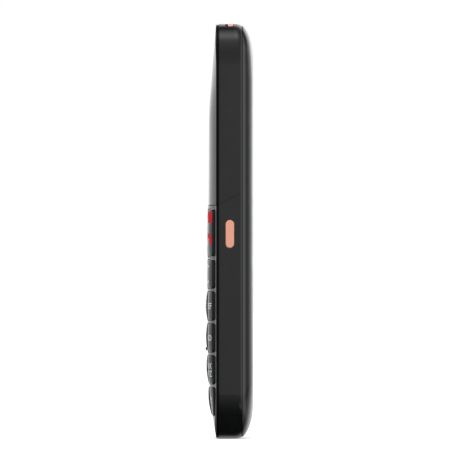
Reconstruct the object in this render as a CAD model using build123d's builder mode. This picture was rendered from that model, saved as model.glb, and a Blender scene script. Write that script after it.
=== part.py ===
from build123d import *
import math
import os

# A bar mobile phone with large raised keys, standing upright on its foot.
# Sizes are in millimetres. Z runs up the phone, the front looks toward -Y and the right-hand
# side toward +X. The origin is the middle of the foot. Depths are Y values: small is front.

os.makedirs("parts", exist_ok=True)

# Body outline seen from the front
LENGTH = 130.0
WIDTH = 56.0
CORNER_R = 14.0

# Depth stations of the shells
SEAM_Y = -4.07
SEAM_GROOVE = 0.63
GROOVE_DEPTH = 0.45
MID_BACK_Y = 3.82
SIDE_FLAT_Y = 1.6
BACK_DRAW = 0.55
BACK_GAP = 0.31
COVER_DEPTH = 3.3
WALL = 1.5

# Domed front: height over the seam is a width share times a length profile
FRONT_RIM = 0.1
SIDE_ROLL = 12.0
SIDE_POWER = 2.6
KEYPAD_HEIGHT = 2.81
KEYPAD_PEAK_Z = 38.0
KEYPAD_TOP_DROP = 0.15
CHIN_RATE = 2.19e-4
CHIN_POWER = 2.6
DISPLAY_HEIGHT = 2.47
DISPLAY_FALL = 0.0052
BROW_RUN = 31.0
BROW_BLEND = 8.0
BROW_SLOPE = 0.083
PARTING_Z = 73.1
FRONT_WALL = 1.0

# Keys
KEY_EDGE = 0.7
COLUMN_GAP = 1.2
KEY_HEIGHT = 8.9
ROW_GAP = 1.07
NAV_GAP = 0.95
NAV_HEIGHT = 14.9
NAV_Z = 64.5
KEY_CORNER_R = 0.8
NAV_CORNER_R = 0.9
KEY_CLEARANCE = 0.15
KEY_TRAVEL = 0.25
KEY_BASE_Y = -4.4
KEY_BEVEL = 0.25
SIDE_WALL_HEIGHT = 1.28
SHOULDER_RUN = 5.0
SIDE_KEY_CROWN = 0.1
SIDE_KEY_BARREL = 0.15
CENTRE_CROSS = 0.18
NUMBER_PROUD = 0.57
NUMBER_BARREL = 0.45
FLAT_PROUD = 0.17
FLAT_BARREL = 0.08
CHIN_EXTRA_PROUD = 0.09
NUB_R = 0.5
NUB_DROP = 3.55
NUB_PROUD = 0.38
NUB_SINK = 0.6

# Display and earpiece
LENS_MARGIN = 8.0
LENS_TOP_MARGIN = 10.9
LENS_FOOT_MARGIN = 3.0
LENS_CORNER_R = 3.0
LENS_THICK = 0.7
LENS_LEDGE = 1.5
LENS_CLEARANCE = 0.06
DISPLAY_WALL = 1.2
EARPIECE_DROP = 5.6
EARPIECE_LENGTH = 12.0
EARPIECE_SLOT = 1.5
MESH_THICK = 0.25
MESH_SET_BACK = 0.3

# Inner stack, front to back
SHEET_WEB = 0.7
BOARD_FRONT_Y = -1.4
BOARD_THICK = 0.8
BOARD_MARGIN = 0.4
DOME_HEIGHT = 0.25
DOME_R = 2.0
DOME_FOIL = 0.1
PLUNGER_R = 1.3
DECK_THICK = 0.8
COVER_REBATE = 0.62
WELL_MARGIN = 10.0
WELL_FOOT_Z = 34.0
WELL_TOP_MARGIN = 38.0
WELL_WALL = 1.0
WELL_FLOOR_Y = 0.9
WELL_FLOOR_THICK = 0.6
BATTERY_THICK = 4.5
BATTERY_CLEARANCE = 0.3
LCD_FRONT_Y = -4.0
LCD_SIDE_MARGIN = 0.5
LCD_END_MARGIN = 2.0
LCD_BEZEL = 1.5
FIT = 0.1

# Side and top buttons
SIDE_BUTTON_LENGTH = 8.7
SIDE_BUTTON_WIDTH = 2.6
SIDE_BUTTON_Y = 0.14
SIDE_BUTTON_Z = 64.2
BUTTON_PROUD = 0.25
BUTTON_CHAMFER = 0.2
BUTTON_CLEARANCE = 0.12
BUTTON_FLANGE = 0.5
BUTTON_TRAVEL = 0.4
SWITCH_DEPTH = 1.6
ROCKER_LENGTH = 17.0
ROCKER_Z = 88.0
TOP_BUTTON_INSET = 13.7
TOP_BUTTON_LENGTH = 8.8
TOP_BUTTON_WIDTH = 1.65
TOP_BUTTON_Y = 0.33
TOP_SLOT_WIDTH = 2.6

# Screws, ports and back
SCREW_R = 0.8
SCREW_HEAD_R = 1.4
SCREW_HEAD = 0.8
BOSS_R = 2.0
BROW_SCREW_INSET = 9.0
BROW_SCREW_DROP = 6.0
PARTING_SCREW_INSET = 5.7
PARTING_SCREW_RISE = 2.2
CHIN_SCREW_INSET = 15.0
CHIN_SCREW_Z = 4.3
USB_WIDTH = 7.5
USB_HEIGHT = 2.5
USB_DEPTH = 5.4
USB_Y = -0.05
USB_SHELL = 0.3
COVER_WALL = 1.0
COVER_SIDE_ROLL = 8.0
COVER_END_ROLL = 15.0
LIP_THICK = 0.8
LIP_CLEARANCE = 0.15
TONGUE_WIDTH = 6.0
CAMERA_DROP = 21.0
CAMERA_WINDOW_R = 4.6
CAMERA_BARREL_R = 3.4
TORCH_X = 8.6
TORCH_R = 1.9
SPEAKER_Z = 21.0
SPEAKER_WIDTH = 15.0
SPEAKER_HEIGHT = 11.0
MOTOR_R = 4.0
MOTOR_INSET = 12.5
ANTENNA_GAP = 1.5
ANTENNA_MARGIN = 5.0
ANTENNA_HEIGHT = 20.0
CAN_HEIGHT = 22.0
CAN_DROP = 22.9
CAN_INNER_X = 6.5
CAN_HIGH = 1.4
MICROPHONE_R = 1.5
MICROPHONE_Z = 4.2
PINHOLE_R = 0.4
SIM_Z = 49.0
SIM_WIDTH = 19.0
SIM_HEIGHT = 15.0
SIM_WINDOW_WIDTH = 20.0
SIM_WINDOW_HEIGHT = 12.0
CAMERA_BASE = 8.4
LED_SIZE = 3.0
LED_HIGH = 1.6
GRILLE_SLOTS = 4
GRILLE_PITCH = 2.2
GRILLE_SLOT = 0.9
GRILLE_LENGTH = 10.0

# Sizes that follow from the ones above
HALF_WIDTH = WIDTH / 2
MID_FRONT_Y = SEAM_Y + SEAM_GROOVE
COVER_RIM_Y = MID_BACK_Y + BACK_GAP
BACK_Y = COVER_RIM_Y + COVER_DEPTH
DECK_BACK_Y = MID_BACK_Y - COVER_REBATE
DECK_FRONT_Y = DECK_BACK_Y - DECK_THICK
BROW_Z = LENGTH - BROW_RUN
ROW_PITCH = KEY_HEIGHT + ROW_GAP
FIRST_ROW_Z = NAV_Z - NAV_HEIGHT / 2 - NAV_GAP - KEY_HEIGHT / 2
LENS_WIDTH = WIDTH - 2 * LENS_MARGIN
LENS_HEIGHT = LENGTH - PARTING_Z - LENS_TOP_MARGIN - LENS_FOOT_MARGIN
LENS_Z = PARTING_Z + LENS_FOOT_MARGIN + LENS_HEIGHT / 2
LCD_WIDTH = LENS_WIDTH - 2 * LCD_SIDE_MARGIN
LCD_HEIGHT = LENS_HEIGHT - 2 * LCD_END_MARGIN
EARPIECE_Z = LENGTH - EARPIECE_DROP
CAMERA_Z = LENGTH - CAMERA_DROP
WELL_WIDTH = WIDTH - 2 * WELL_MARGIN
WELL_HEIGHT = LENGTH - WELL_FOOT_Z - WELL_TOP_MARGIN
WELL_Z = WELL_FOOT_Z + WELL_HEIGHT / 2
TOP_BUTTON_X = HALF_WIDTH - TOP_BUTTON_INSET
BOARD_BACK_Y = BOARD_FRONT_Y + BOARD_THICK
KEY_WIDTH = (WIDTH - 2 * KEY_EDGE - 2 * COLUMN_GAP) / 3
COLUMN_PITCH = KEY_WIDTH + COLUMN_GAP
SHEET_FRONT_Y = SEAM_Y
WELL_FLOOR_BACK_Y = WELL_FLOOR_Y + WELL_FLOOR_THICK
FRONT_REACH = 6.0
SCREW_GRIP = BOARD_FRONT_Y - SEAM_Y
UPPER_SCREWS = [
    (x * side, z)
    for x, z in [
        (HALF_WIDTH - BROW_SCREW_INSET, LENGTH - BROW_SCREW_DROP),
        (HALF_WIDTH - PARTING_SCREW_INSET, PARTING_Z + PARTING_SCREW_RISE),
    ]
    for side in (-1, 1)
]
LOWER_SCREW_X = HALF_WIDTH - CHIN_SCREW_INSET
LOWER_SCREWS = [(LOWER_SCREW_X * side, CHIN_SCREW_Z) for side in (-1, 1)]
MICROPHONE_X = (USB_WIDTH / 2 + LOWER_SCREW_X - BOSS_R) / 2 + FIT
SCREW_SITES = UPPER_SCREWS + LOWER_SCREWS


def facing(y):
    """Sketch plane across the phone at depth y; a positive extrude runs toward the front."""
    return Plane.XZ.offset(-y)


def body_outline(inset=0.0, mode=Mode.ADD):
    """The body's rounded outline, drawn in by an inset."""
    with Locations((0, LENGTH / 2)):
        RectangleRounded(WIDTH - 2 * inset, LENGTH - 2 * inset, CORNER_R - inset, mode=mode)


def width_share(x):
    """Share of the full front height at a distance x from the middle: steep edge, flat middle."""
    run = (HALF_WIDTH - abs(x)) / SIDE_ROLL
    if run >= 1:
        return 1.0
    if run <= 0:
        return SIDE_POWER * run
    return 1 - (1 - run) ** SIDE_POWER


def keypad_profile(z):
    """Front height along the keypad: highest at the peak, curling down to the chin."""
    if z < KEYPAD_PEAK_Z:
        return KEYPAD_HEIGHT - CHIN_RATE * (KEYPAD_PEAK_Z - z) ** CHIN_POWER
    return KEYPAD_HEIGHT - KEYPAD_TOP_DROP * (z - KEYPAD_PEAK_Z) / (PARTING_Z - KEYPAD_PEAK_Z)


def display_profile(z):
    """Front height along the display: near level, then a straight slope down to the brow."""
    if z < BROW_Z:
        return DISPLAY_HEIGHT - DISPLAY_FALL * (z - PARTING_Z)
    level = DISPLAY_HEIGHT - DISPLAY_FALL * (BROW_Z - PARTING_Z)
    past = z - BROW_Z
    if past < BROW_BLEND:
        return level - DISPLAY_FALL * past - (BROW_SLOPE - DISPLAY_FALL) * past**2 / (2 * BROW_BLEND)
    blend_drop = (BROW_SLOPE + DISPLAY_FALL) * BROW_BLEND / 2
    return level - blend_drop - BROW_SLOPE * (past - BROW_BLEND)


def surface_block(height, x_values, z_values, tolerance=0.004):
    """Solid behind the surface that stands height(x, z) in front of the seam plane."""
    rows = [[Vector(x, SEAM_Y - height(x, z), z) for z in z_values] for x in x_values]
    face = Face.make_surface_from_array_of_points(rows, tol=tolerance, min_deg=3, max_deg=5)
    return extrude(face, amount=LENGTH / 8, dir=(0, 1, 0))


def spread(start, stop, count):
    """Evenly spaced values from start to stop."""
    return [start + (stop - start) * i / (count - 1) for i in range(count)]


def front_block(profile, z_start, z_stop, set_back=0.0):
    """Domed front over a stretch of the length, moved back by a wall's thickness."""
    edge = HALF_WIDTH + 0.6
    half = [edge - (edge - 3.0) * (i / 9) ** 1.7 for i in range(10)]
    x_values = [-x for x in half] + half[::-1]

    def height(x, z):
        return FRONT_RIM + width_share(x) * (profile(z) - FRONT_RIM) - set_back

    return surface_block(height, x_values, spread(z_start, z_stop, 24))


keypad_front = front_block(keypad_profile, -0.6, PARTING_Z + 1)
keypad_hollow = front_block(keypad_profile, -0.6, PARTING_Z + 1, FRONT_WALL)
display_front = front_block(display_profile, PARTING_Z - 1, LENGTH + 0.6)
buried_front = front_block(display_profile, PARTING_Z - 1, LENGTH + 0.6, MESH_SET_BACK)
display_ledge = front_block(display_profile, PARTING_Z - 1, LENGTH + 0.6, LENS_THICK)
display_hollow = front_block(display_profile, PARTING_Z - 1, LENGTH + 0.6, DISPLAY_WALL)


def row_z(row):
    """Middle height of a key row; row 0 is the navigation block."""
    return NAV_Z if row == 0 else FIRST_ROW_Z - ROW_PITCH * (row - 1)


def key_size(row):
    """Height and corner radius of the keys in a row."""
    return (NAV_HEIGHT, NAV_CORNER_R) if row == 0 else (KEY_HEIGHT, KEY_CORNER_R)


def key_outline(column, row, gap=0.0):
    """Key outline seen from the front, grown by a gap and kept inside the body's outline."""
    tall, corner = key_size(row)
    with Locations((column * COLUMN_PITCH, row_z(row))):
        RectangleRounded(KEY_WIDTH + 2 * gap, tall + 2 * gap, corner + gap)
    body_outline(KEY_EDGE - gap, mode=Mode.INTERSECT)
    trimmed_by_corner = column and row_z(row) - tall / 2 < CORNER_R - corner
    if trimmed_by_corner:
        lowest = vertices().group_by(Axis.Y)[0].sort_by(Axis.X)
        fillet(lowest[-1 if column > 0 else 0], corner + gap)


def key_crown(column, row):
    """Height of a key's top over the seam plane as a function of x and z."""
    tall, _ = key_size(row)
    middle = row_z(row)
    slope = (keypad_profile(middle + 0.5) - keypad_profile(middle - 0.5)) / 1.0
    raised = row >= 2
    proud = NUMBER_PROUD + CHIN_EXTRA_PROUD * max(0, row - 3) if raised else FLAT_PROUD
    barrel = NUMBER_BARREL if raised else FLAT_BARREL
    base = keypad_profile(middle)
    outer_x = HALF_WIDTH - KEY_EDGE

    def centre(x, z):
        along = (z - middle) / (tall / 2)
        across = x / (KEY_WIDTH / 2)
        return base + slope * (z - middle) + proud - barrel * along**2 - CENTRE_CROSS * across**2

    def side(x, z):
        along = (z - middle) / (tall / 2)
        crest = base + slope * (z - middle) + SIDE_KEY_CROWN - SIDE_KEY_BARREL * along**2
        wall = SIDE_WALL_HEIGHT * (base + slope * (z - middle)) / KEYPAD_HEIGHT
        run = min(1.0, (outer_x - abs(x)) / SHOULDER_RUN)
        return wall + (crest - wall) * (1 - (1 - run) ** 2)

    return side if column else centre


def key_block(column, row):
    """Solid behind a key's crowned top."""
    tall, _ = key_size(row)
    middle = row_z(row)
    z_values = spread(middle - tall / 2 - 0.5, middle + tall / 2 + 0.5, 9)
    if column:
        outer = HALF_WIDTH - KEY_EDGE + 0.3
        inner = COLUMN_PITCH - KEY_WIDTH / 2 - 0.5
        x_values = [column * (inner + (outer - inner) * (i / 11) ** 0.7) for i in range(12)]
    else:
        x_values = spread(-KEY_WIDTH / 2 - 0.5, KEY_WIDTH / 2 + 0.5, 9)
    return surface_block(key_crown(column, row), x_values, z_values, 0.005)


def make_key(label, column, row, nub=False):
    """One keycap: straight walls under a crowned top with bevelled edges."""
    crown = key_block(column, row)
    with BuildPart() as key:
        with BuildSketch(facing(KEY_BASE_Y)):
            key_outline(column, row)
        extrude(amount=FRONT_REACH)
        add(crown, mode=Mode.INTERSECT)
        chamfer(key.faces().sort_by(Axis.Y)[0].edges(), KEY_BEVEL)
        if nub:
            nub_z = row_z(row) - NUB_DROP
            nub_y = SEAM_Y - key_crown(column, row)(0, nub_z) - NUB_PROUD
            with BuildSketch(facing(nub_y + NUB_PROUD + NUB_SINK)):
                with Locations((0, nub_z)):
                    RegularPolygon(NUB_R, 12)
            extrude(amount=NUB_PROUD + NUB_SINK)
            chamfer(key.faces().sort_by(Axis.Y)[0].edges(), NUB_R / 3)
    key.part.label = label
    export_step(key.part, f"parts/{label}.step")


NAV_KEYS = ["left_key", "nav_rocker", "right_key"]
QUICK_KEYS = ["quick_key_left", "quick_key_middle", "quick_key_right"]
NUMBER_KEYS = [
    ["key_1", "key_2", "key_3"],
    ["key_4", "key_5", "key_6"],
    ["key_7", "key_8", "key_9"],
    ["key_star", "key_0", "key_hash"],
]
KEY_ROWS = [NAV_KEYS, QUICK_KEYS] + NUMBER_KEYS

for row, labels in enumerate(KEY_ROWS):
    for column, label in zip((-1, 0, 1), labels):
        make_key(label, column, row, nub=label == "key_5")

# Keypad fascia: thin domed shell with an opening for every key and two screw bosses
with BuildPart() as front_cover:
    with BuildSketch(facing(SEAM_Y)):
        body_outline()
        with Locations((0, PARTING_Z / 2)):
            Rectangle(WIDTH, PARTING_Z - FIT, mode=Mode.INTERSECT)
    extrude(amount=FRONT_REACH)
    add(keypad_front, mode=Mode.INTERSECT)
    add(keypad_hollow, mode=Mode.SUBTRACT)
    for row in range(len(KEY_ROWS)):
        for column in (-1, 0, 1):
            with BuildSketch(facing(SEAM_Y)):
                key_outline(column, row, KEY_CLEARANCE)
            extrude(amount=FRONT_REACH, mode=Mode.SUBTRACT)
    with BuildSketch(facing(BOARD_FRONT_Y)):
        with Locations(*LOWER_SCREWS):
            Circle(BOSS_R - 0.3)
        body_outline(WALL + BOARD_MARGIN, mode=Mode.INTERSECT)
    extrude(amount=BOARD_FRONT_Y - SEAM_Y)
    with BuildSketch(facing(BOARD_FRONT_Y)):
        with Locations(*LOWER_SCREWS):
            Circle(SCREW_R + 0.05)
    extrude(amount=SCREW_GRIP, mode=Mode.SUBTRACT)
    with BuildSketch(facing(SEAM_Y)):
        with Locations((MICROPHONE_X, MICROPHONE_Z)):
            Circle(PINHOLE_R)
    extrude(amount=FRONT_REACH, mode=Mode.SUBTRACT)
front_cover.part.label = "front_cover"
export_step(front_cover.part, "parts/front_cover.step")

# Display fascia: window with a ledge for the lens, earpiece slot and four screw bosses
with BuildPart() as lens_rebate:
    with BuildSketch(facing(SEAM_Y + WALL)):
        with Locations((0, LENS_Z)):
            RectangleRounded(LENS_WIDTH, LENS_HEIGHT, LENS_CORNER_R)
    extrude(amount=FRONT_REACH)
    add(display_ledge, mode=Mode.SUBTRACT)

with BuildPart() as upper_bosses:
    with BuildSketch(facing(BOARD_FRONT_Y)):
        with Locations(*UPPER_SCREWS):
            Circle(BOSS_R - 0.3)
    extrude(amount=FRONT_REACH)
    add(buried_front, mode=Mode.INTERSECT)

with BuildPart() as display_fascia:
    with BuildSketch(facing(SEAM_Y)):
        body_outline()
        with Locations((0, (PARTING_Z + LENGTH + FIT / 2) / 2)):
            Rectangle(WIDTH, LENGTH - PARTING_Z - FIT / 2, mode=Mode.INTERSECT)
    extrude(amount=FRONT_REACH)
    add(display_front, mode=Mode.INTERSECT)
    add(display_hollow, mode=Mode.SUBTRACT)
    with BuildSketch(facing(SEAM_Y + WALL)):
        with Locations((0, LENS_Z)):
            RectangleRounded(LENS_WIDTH - 2 * LENS_LEDGE, LENS_HEIGHT - 2 * LENS_LEDGE, LENS_CORNER_R)
        with Locations((0, EARPIECE_Z)):
            SlotOverall(EARPIECE_LENGTH, EARPIECE_SLOT)
    extrude(amount=FRONT_REACH, mode=Mode.SUBTRACT)
    add(lens_rebate.part, mode=Mode.SUBTRACT)
    add(upper_bosses.part)
    with BuildSketch(facing(BOARD_FRONT_Y)):
        with Locations(*UPPER_SCREWS):
            Circle(SCREW_R + 0.05)
    extrude(amount=SCREW_GRIP, mode=Mode.SUBTRACT)
display_fascia.part.label = "display_fascia"
export_step(display_fascia.part, "parts/display_fascia.step")

# Clear lens: a piece of the same dome, flush with the fascia around it
with BuildPart() as display_lens:
    with BuildSketch(facing(SEAM_Y)):
        with Locations((0, LENS_Z)):
            RectangleRounded(
                LENS_WIDTH - 2 * LENS_CLEARANCE,
                LENS_HEIGHT - 2 * LENS_CLEARANCE,
                LENS_CORNER_R - LENS_CLEARANCE,
            )
    extrude(amount=FRONT_REACH)
    add(display_front, mode=Mode.INTERSECT)
    add(display_ledge, mode=Mode.SUBTRACT)
display_lens.part.label = "display_lens"
export_step(display_lens.part, "parts/display_lens.step")

# Earpiece mesh, bedded a little behind the fascia's surface in its slot
mesh_back = front_block(display_profile, PARTING_Z - 1, LENGTH + 0.6, MESH_SET_BACK + MESH_THICK)
with BuildPart() as earpiece_mesh:
    with BuildSketch(facing(SEAM_Y)):
        with Locations((0, EARPIECE_Z)):
            SlotOverall(EARPIECE_LENGTH - FIT, EARPIECE_SLOT - FIT)
    extrude(amount=FRONT_REACH)
    add(buried_front, mode=Mode.INTERSECT)
    add(mesh_back, mode=Mode.SUBTRACT)
earpiece_mesh.part.label = "earpiece_mesh"
export_step(earpiece_mesh.part, "parts/earpiece_mesh.step")

# Earpiece receiver on the board, right behind its slot
with BuildPart() as earpiece_receiver:
    with BuildSketch(facing(BOARD_FRONT_Y)):
        with Locations((0, EARPIECE_Z - 0.6)):
            RectangleRounded(EARPIECE_LENGTH, 6.0, 2.0)
    extrude(amount=BOARD_FRONT_Y - SEAM_Y - FIT)
    with BuildSketch(facing(SEAM_Y + FIT)):
        with Locations((0, EARPIECE_Z)):
            SlotOverall(EARPIECE_LENGTH - 2.0, EARPIECE_SLOT)
    extrude(amount=-0.6, mode=Mode.SUBTRACT)
earpiece_receiver.part.label = "earpiece_receiver"
export_step(earpiece_receiver.part, "parts/earpiece_receiver.step")

# Display module: glass in a bezel frame that stands on the board
with BuildPart() as lcd_module:
    with BuildSketch(facing(BOARD_FRONT_Y)):
        with Locations((0, LENS_Z)):
            Rectangle(LCD_WIDTH, LCD_HEIGHT)
    extrude(amount=BOARD_FRONT_Y - LCD_FRONT_Y)
    chamfer(lcd_module.edges().filter_by(Axis.Y), 0.6)
    with BuildSketch(facing(LCD_FRONT_Y)):
        with Locations((0, LENS_Z)):
            Rectangle(LCD_WIDTH - 2 * LCD_BEZEL, LCD_HEIGHT - 2 * LCD_BEZEL)
    extrude(amount=-0.2, mode=Mode.SUBTRACT)
lcd_module.part.label = "lcd_module"
export_step(lcd_module.part, "parts/lcd_module.step")

# Silicone keypad sheet: thin web under the keys with a plunger over every dome
SHEET_BACK_Y = SHEET_FRONT_Y + SHEET_WEB
SHEET_INSET = WALL + BOARD_MARGIN
PLUNGER_TIP_Y = BOARD_FRONT_Y - DOME_FOIL - DOME_HEIGHT - 0.05
DOME_SITES = [
    (column * (COLUMN_PITCH - (0.6 if column else 0)), row_z(row) + step)
    for row in range(len(KEY_ROWS))
    for column in (-1, 0, 1)
    for step in ((-4.6, 4.6) if row == 0 else (0.0,))
]
with BuildPart() as keypad_sheet:
    with BuildSketch(facing(SHEET_BACK_Y)):
        body_outline(SHEET_INSET)
        with Locations((0, (PARTING_Z + LOWER_SCREWS[0][1] + BOSS_R) / 2)):
            Rectangle(WIDTH, PARTING_Z - LOWER_SCREWS[0][1] - BOSS_R - 1.0, mode=Mode.INTERSECT)
    extrude(amount=SHEET_WEB)
    with BuildSketch(facing(PLUNGER_TIP_Y)):
        with Locations(*DOME_SITES):
            RegularPolygon(PLUNGER_R, 8)
    extrude(amount=PLUNGER_TIP_Y - SHEET_BACK_Y)
keypad_sheet.part.label = "keypad_sheet"
export_step(keypad_sheet.part, "parts/keypad_sheet.step")

# Dome sheet: foil on the board with a shallow metal dome under every plunger
with BuildPart() as dome_sheet:
    with BuildSketch(facing(BOARD_FRONT_Y)):
        body_outline(SHEET_INSET + 1.0)
        with Locations((0, (PARTING_Z + LOWER_SCREWS[0][1] + BOSS_R) / 2)):
            Rectangle(WIDTH, PARTING_Z - LOWER_SCREWS[0][1] - BOSS_R - 2.0, mode=Mode.INTERSECT)
    extrude(amount=DOME_FOIL)
    with BuildSketch(facing(BOARD_FRONT_Y - DOME_FOIL)):
        with Locations(*DOME_SITES):
            RegularPolygon(DOME_R, 8)
    extrude(amount=DOME_HEIGHT, taper=60)
dome_sheet.part.label = "dome_sheet"
export_step(dome_sheet.part, "parts/dome_sheet.step")

# Main board with notches for the buttons and the port, and holes for the screws
SIDE_NOTCH_X = HALF_WIDTH - WALL - 1.6
TOP_NOTCH_Z = LENGTH - WALL - 2.6
with BuildPart() as main_board:
    with BuildSketch(facing(BOARD_BACK_Y)):
        body_outline(WALL + BOARD_MARGIN)
        with Locations((0, 0)):
            Rectangle(USB_WIDTH + 1.0, 2 * (USB_DEPTH + 1.2), mode=Mode.SUBTRACT)
        with Locations((HALF_WIDTH, SIDE_BUTTON_Z)):
            Rectangle(2 * (HALF_WIDTH - SIDE_NOTCH_X), SIDE_BUTTON_LENGTH + 3.0, mode=Mode.SUBTRACT)
        with Locations((-HALF_WIDTH, ROCKER_Z)):
            Rectangle(2 * (HALF_WIDTH - SIDE_NOTCH_X), ROCKER_LENGTH + 3.0, mode=Mode.SUBTRACT)
        with Locations((TOP_BUTTON_X, LENGTH)):
            Rectangle(TOP_BUTTON_LENGTH + 2.6, 2 * (LENGTH - TOP_NOTCH_Z), mode=Mode.SUBTRACT)
        with Locations(*SCREW_SITES):
            Circle(SCREW_R + 0.2, mode=Mode.SUBTRACT)
    extrude(amount=BOARD_THICK)
main_board.part.label = "main_board"
export_step(main_board.part, "parts/main_board.step")

# Mid frame: side walls, rear deck, battery well, screw bosses and button slots


def mid_inset(y):
    """How far the side walls draw in behind the flat band: an arc of a circle."""
    run = MID_BACK_Y - SIDE_FLAT_Y
    radius = (run**2 + BACK_DRAW**2) / (2 * BACK_DRAW)
    return radius - math.sqrt(radius**2 - max(0.0, y - SIDE_FLAT_Y) ** 2)


def pill(length, width, mode=Mode.ADD):
    """Pill outline whose long axis runs up the phone on a side plane."""
    SlotOverall(length, width, rotation=90, mode=mode)


LIP_INSET = WALL + LIP_CLEARANCE
TONGUE_X = HALF_WIDTH - LIP_INSET - LIP_THICK / 2
TONGUE_SITES = [(side * TONGUE_X, z) for side in (-1, 1) for z in (24.0, 50.0, LENGTH - 22.0)]
CONTACT_WIDTH = 8.8
WELL_TOP_Z = WELL_Z + WELL_HEIGHT / 2

with BuildPart() as mid_frame:
    with BuildSketch(facing(SIDE_FLAT_Y)):
        body_outline()
    extrude(amount=SIDE_FLAT_Y - MID_FRONT_Y)
    for step in range(5):
        depth = SIDE_FLAT_Y + (MID_BACK_Y - SIDE_FLAT_Y) * step / 4
        with BuildSketch(facing(depth)):
            body_outline(mid_inset(depth))
    loft()
    with BuildSketch(facing(MID_FRONT_Y)):
        body_outline(GROOVE_DEPTH)
    extrude(amount=SEAM_GROOVE)
    with BuildSketch(facing(DECK_FRONT_Y)):
        body_outline(WALL)
    extrude(amount=DECK_FRONT_Y - SEAM_Y, mode=Mode.SUBTRACT)
    with BuildSketch(facing(MID_BACK_Y)):
        body_outline(WALL)
    extrude(amount=MID_BACK_Y - DECK_BACK_Y, mode=Mode.SUBTRACT)
    with BuildSketch(facing(DECK_BACK_Y)):
        with Locations((0, WELL_Z)):
            Rectangle(WELL_WIDTH + 2 * WELL_WALL, WELL_HEIGHT + 2 * WELL_WALL)
    extrude(amount=DECK_BACK_Y - WELL_FLOOR_Y)
    with BuildSketch(facing(MID_BACK_Y)):
        with Locations((0, WELL_Z)):
            Rectangle(WELL_WIDTH, WELL_HEIGHT)
    extrude(amount=MID_BACK_Y - WELL_FLOOR_BACK_Y, mode=Mode.SUBTRACT)
    with BuildSketch(facing(BOARD_BACK_Y)):
        with Locations(*SCREW_SITES):
            Circle(BOSS_R)
        body_outline(WALL / 2, mode=Mode.INTERSECT)
    extrude(amount=BOARD_BACK_Y - DECK_BACK_Y)
    with Locations(*[Location((x, DECK_BACK_Y, z), (-90, 0, 0)) for x, z in SCREW_SITES]):
        CounterBoreHole(SCREW_R + 0.15, SCREW_HEAD_R + 0.15, SCREW_HEAD + 0.1)
    with BuildSketch(Plane.YZ.offset(HALF_WIDTH - WALL - 1)):
        with Locations((SIDE_BUTTON_Y, SIDE_BUTTON_Z)):
            pill(SIDE_BUTTON_LENGTH + 2 * BUTTON_CLEARANCE, SIDE_BUTTON_WIDTH + 2 * BUTTON_CLEARANCE)
    extrude(amount=WALL + 2, mode=Mode.SUBTRACT)
    with BuildSketch(Plane.YZ.offset(-HALF_WIDTH - 1)):
        with Locations((SIDE_BUTTON_Y, ROCKER_Z)):
            pill(ROCKER_LENGTH + 2 * BUTTON_CLEARANCE, SIDE_BUTTON_WIDTH + 2 * BUTTON_CLEARANCE)
    extrude(amount=WALL + 2, mode=Mode.SUBTRACT)
    with BuildSketch(Plane.XY.offset(LENGTH - WALL - 3)):
        with Locations((TOP_BUTTON_X, 0)):
            SlotOverall(TOP_BUTTON_LENGTH + 2 * BUTTON_CLEARANCE, TOP_SLOT_WIDTH)
    extrude(amount=WALL + 4, mode=Mode.SUBTRACT)
    with BuildSketch(Plane.XY.offset(-1)):
        with Locations((0, USB_Y)):
            RectangleRounded(USB_WIDTH + 0.3, USB_HEIGHT + 0.3, 0.9)
    extrude(amount=WALL + 2, mode=Mode.SUBTRACT)
    with BuildSketch(facing(MID_BACK_Y)):
        with Locations(*TONGUE_SITES):
            Rectangle(LIP_THICK + 2 * LIP_CLEARANCE, TONGUE_WIDTH + 1.0)
        with Locations((0, CAMERA_Z)):
            Circle(CAMERA_BARREL_R + 0.4)
        with Locations((0, SPEAKER_Z)):
            RectangleRounded(SPEAKER_WIDTH - 4, SPEAKER_HEIGHT - 4, 2)
    extrude(amount=MID_BACK_Y - DECK_FRONT_Y + 0.2, mode=Mode.SUBTRACT)
    with BuildSketch(facing(MID_BACK_Y)):
        with Locations((0, WELL_TOP_Z + WELL_WALL)):
            Rectangle(CONTACT_WIDTH + 2 * FIT, 2 * WELL_WALL + 1.4)
        with Locations((0, SIM_Z)):
            Rectangle(SIM_WINDOW_WIDTH, SIM_WINDOW_HEIGHT)
    extrude(amount=MID_BACK_Y - WELL_FLOOR_Y, mode=Mode.SUBTRACT)
mid_frame.part.label = "mid_frame"
export_step(mid_frame.part, "parts/mid_frame.step")

# Housing screws: cap heads in the deck's counterbores, cross recess, shanks into the fascias' bosses
SCREW_SEAT_Y = DECK_BACK_Y - SCREW_HEAD - 0.1
with BuildPart() as housing_screws:
    with BuildSketch(facing(SCREW_SEAT_Y + SCREW_HEAD)):
        with Locations(*SCREW_SITES):
            RegularPolygon(SCREW_HEAD_R, 14)
    extrude(amount=SCREW_HEAD)
    with BuildSketch(facing(SCREW_SEAT_Y)):
        with Locations(*SCREW_SITES):
            RegularPolygon(SCREW_R, 10)
    extrude(amount=SCREW_SEAT_Y - SEAM_Y - 0.2)
    with BuildSketch(facing(SCREW_SEAT_Y + SCREW_HEAD)):
        with Locations(*SCREW_SITES):
            Rectangle(1.5, 0.35)
            Rectangle(0.35, 1.5)
    extrude(amount=0.4, mode=Mode.SUBTRACT)
housing_screws.part.label = "housing_screws"
export_step(housing_screws.part, "parts/housing_screws.step")


def board_block(label, x, z, wide, tall, high, corner=0.4):
    """A plain component that stands on the back of the board."""
    with BuildPart() as block:
        with BuildSketch(facing(BOARD_BACK_Y + high)):
            with Locations((x, z)):
                RectangleRounded(wide, tall, corner)
        extrude(amount=high)
    block.part.label = label
    export_step(block.part, f"parts/{label}.step")


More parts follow.
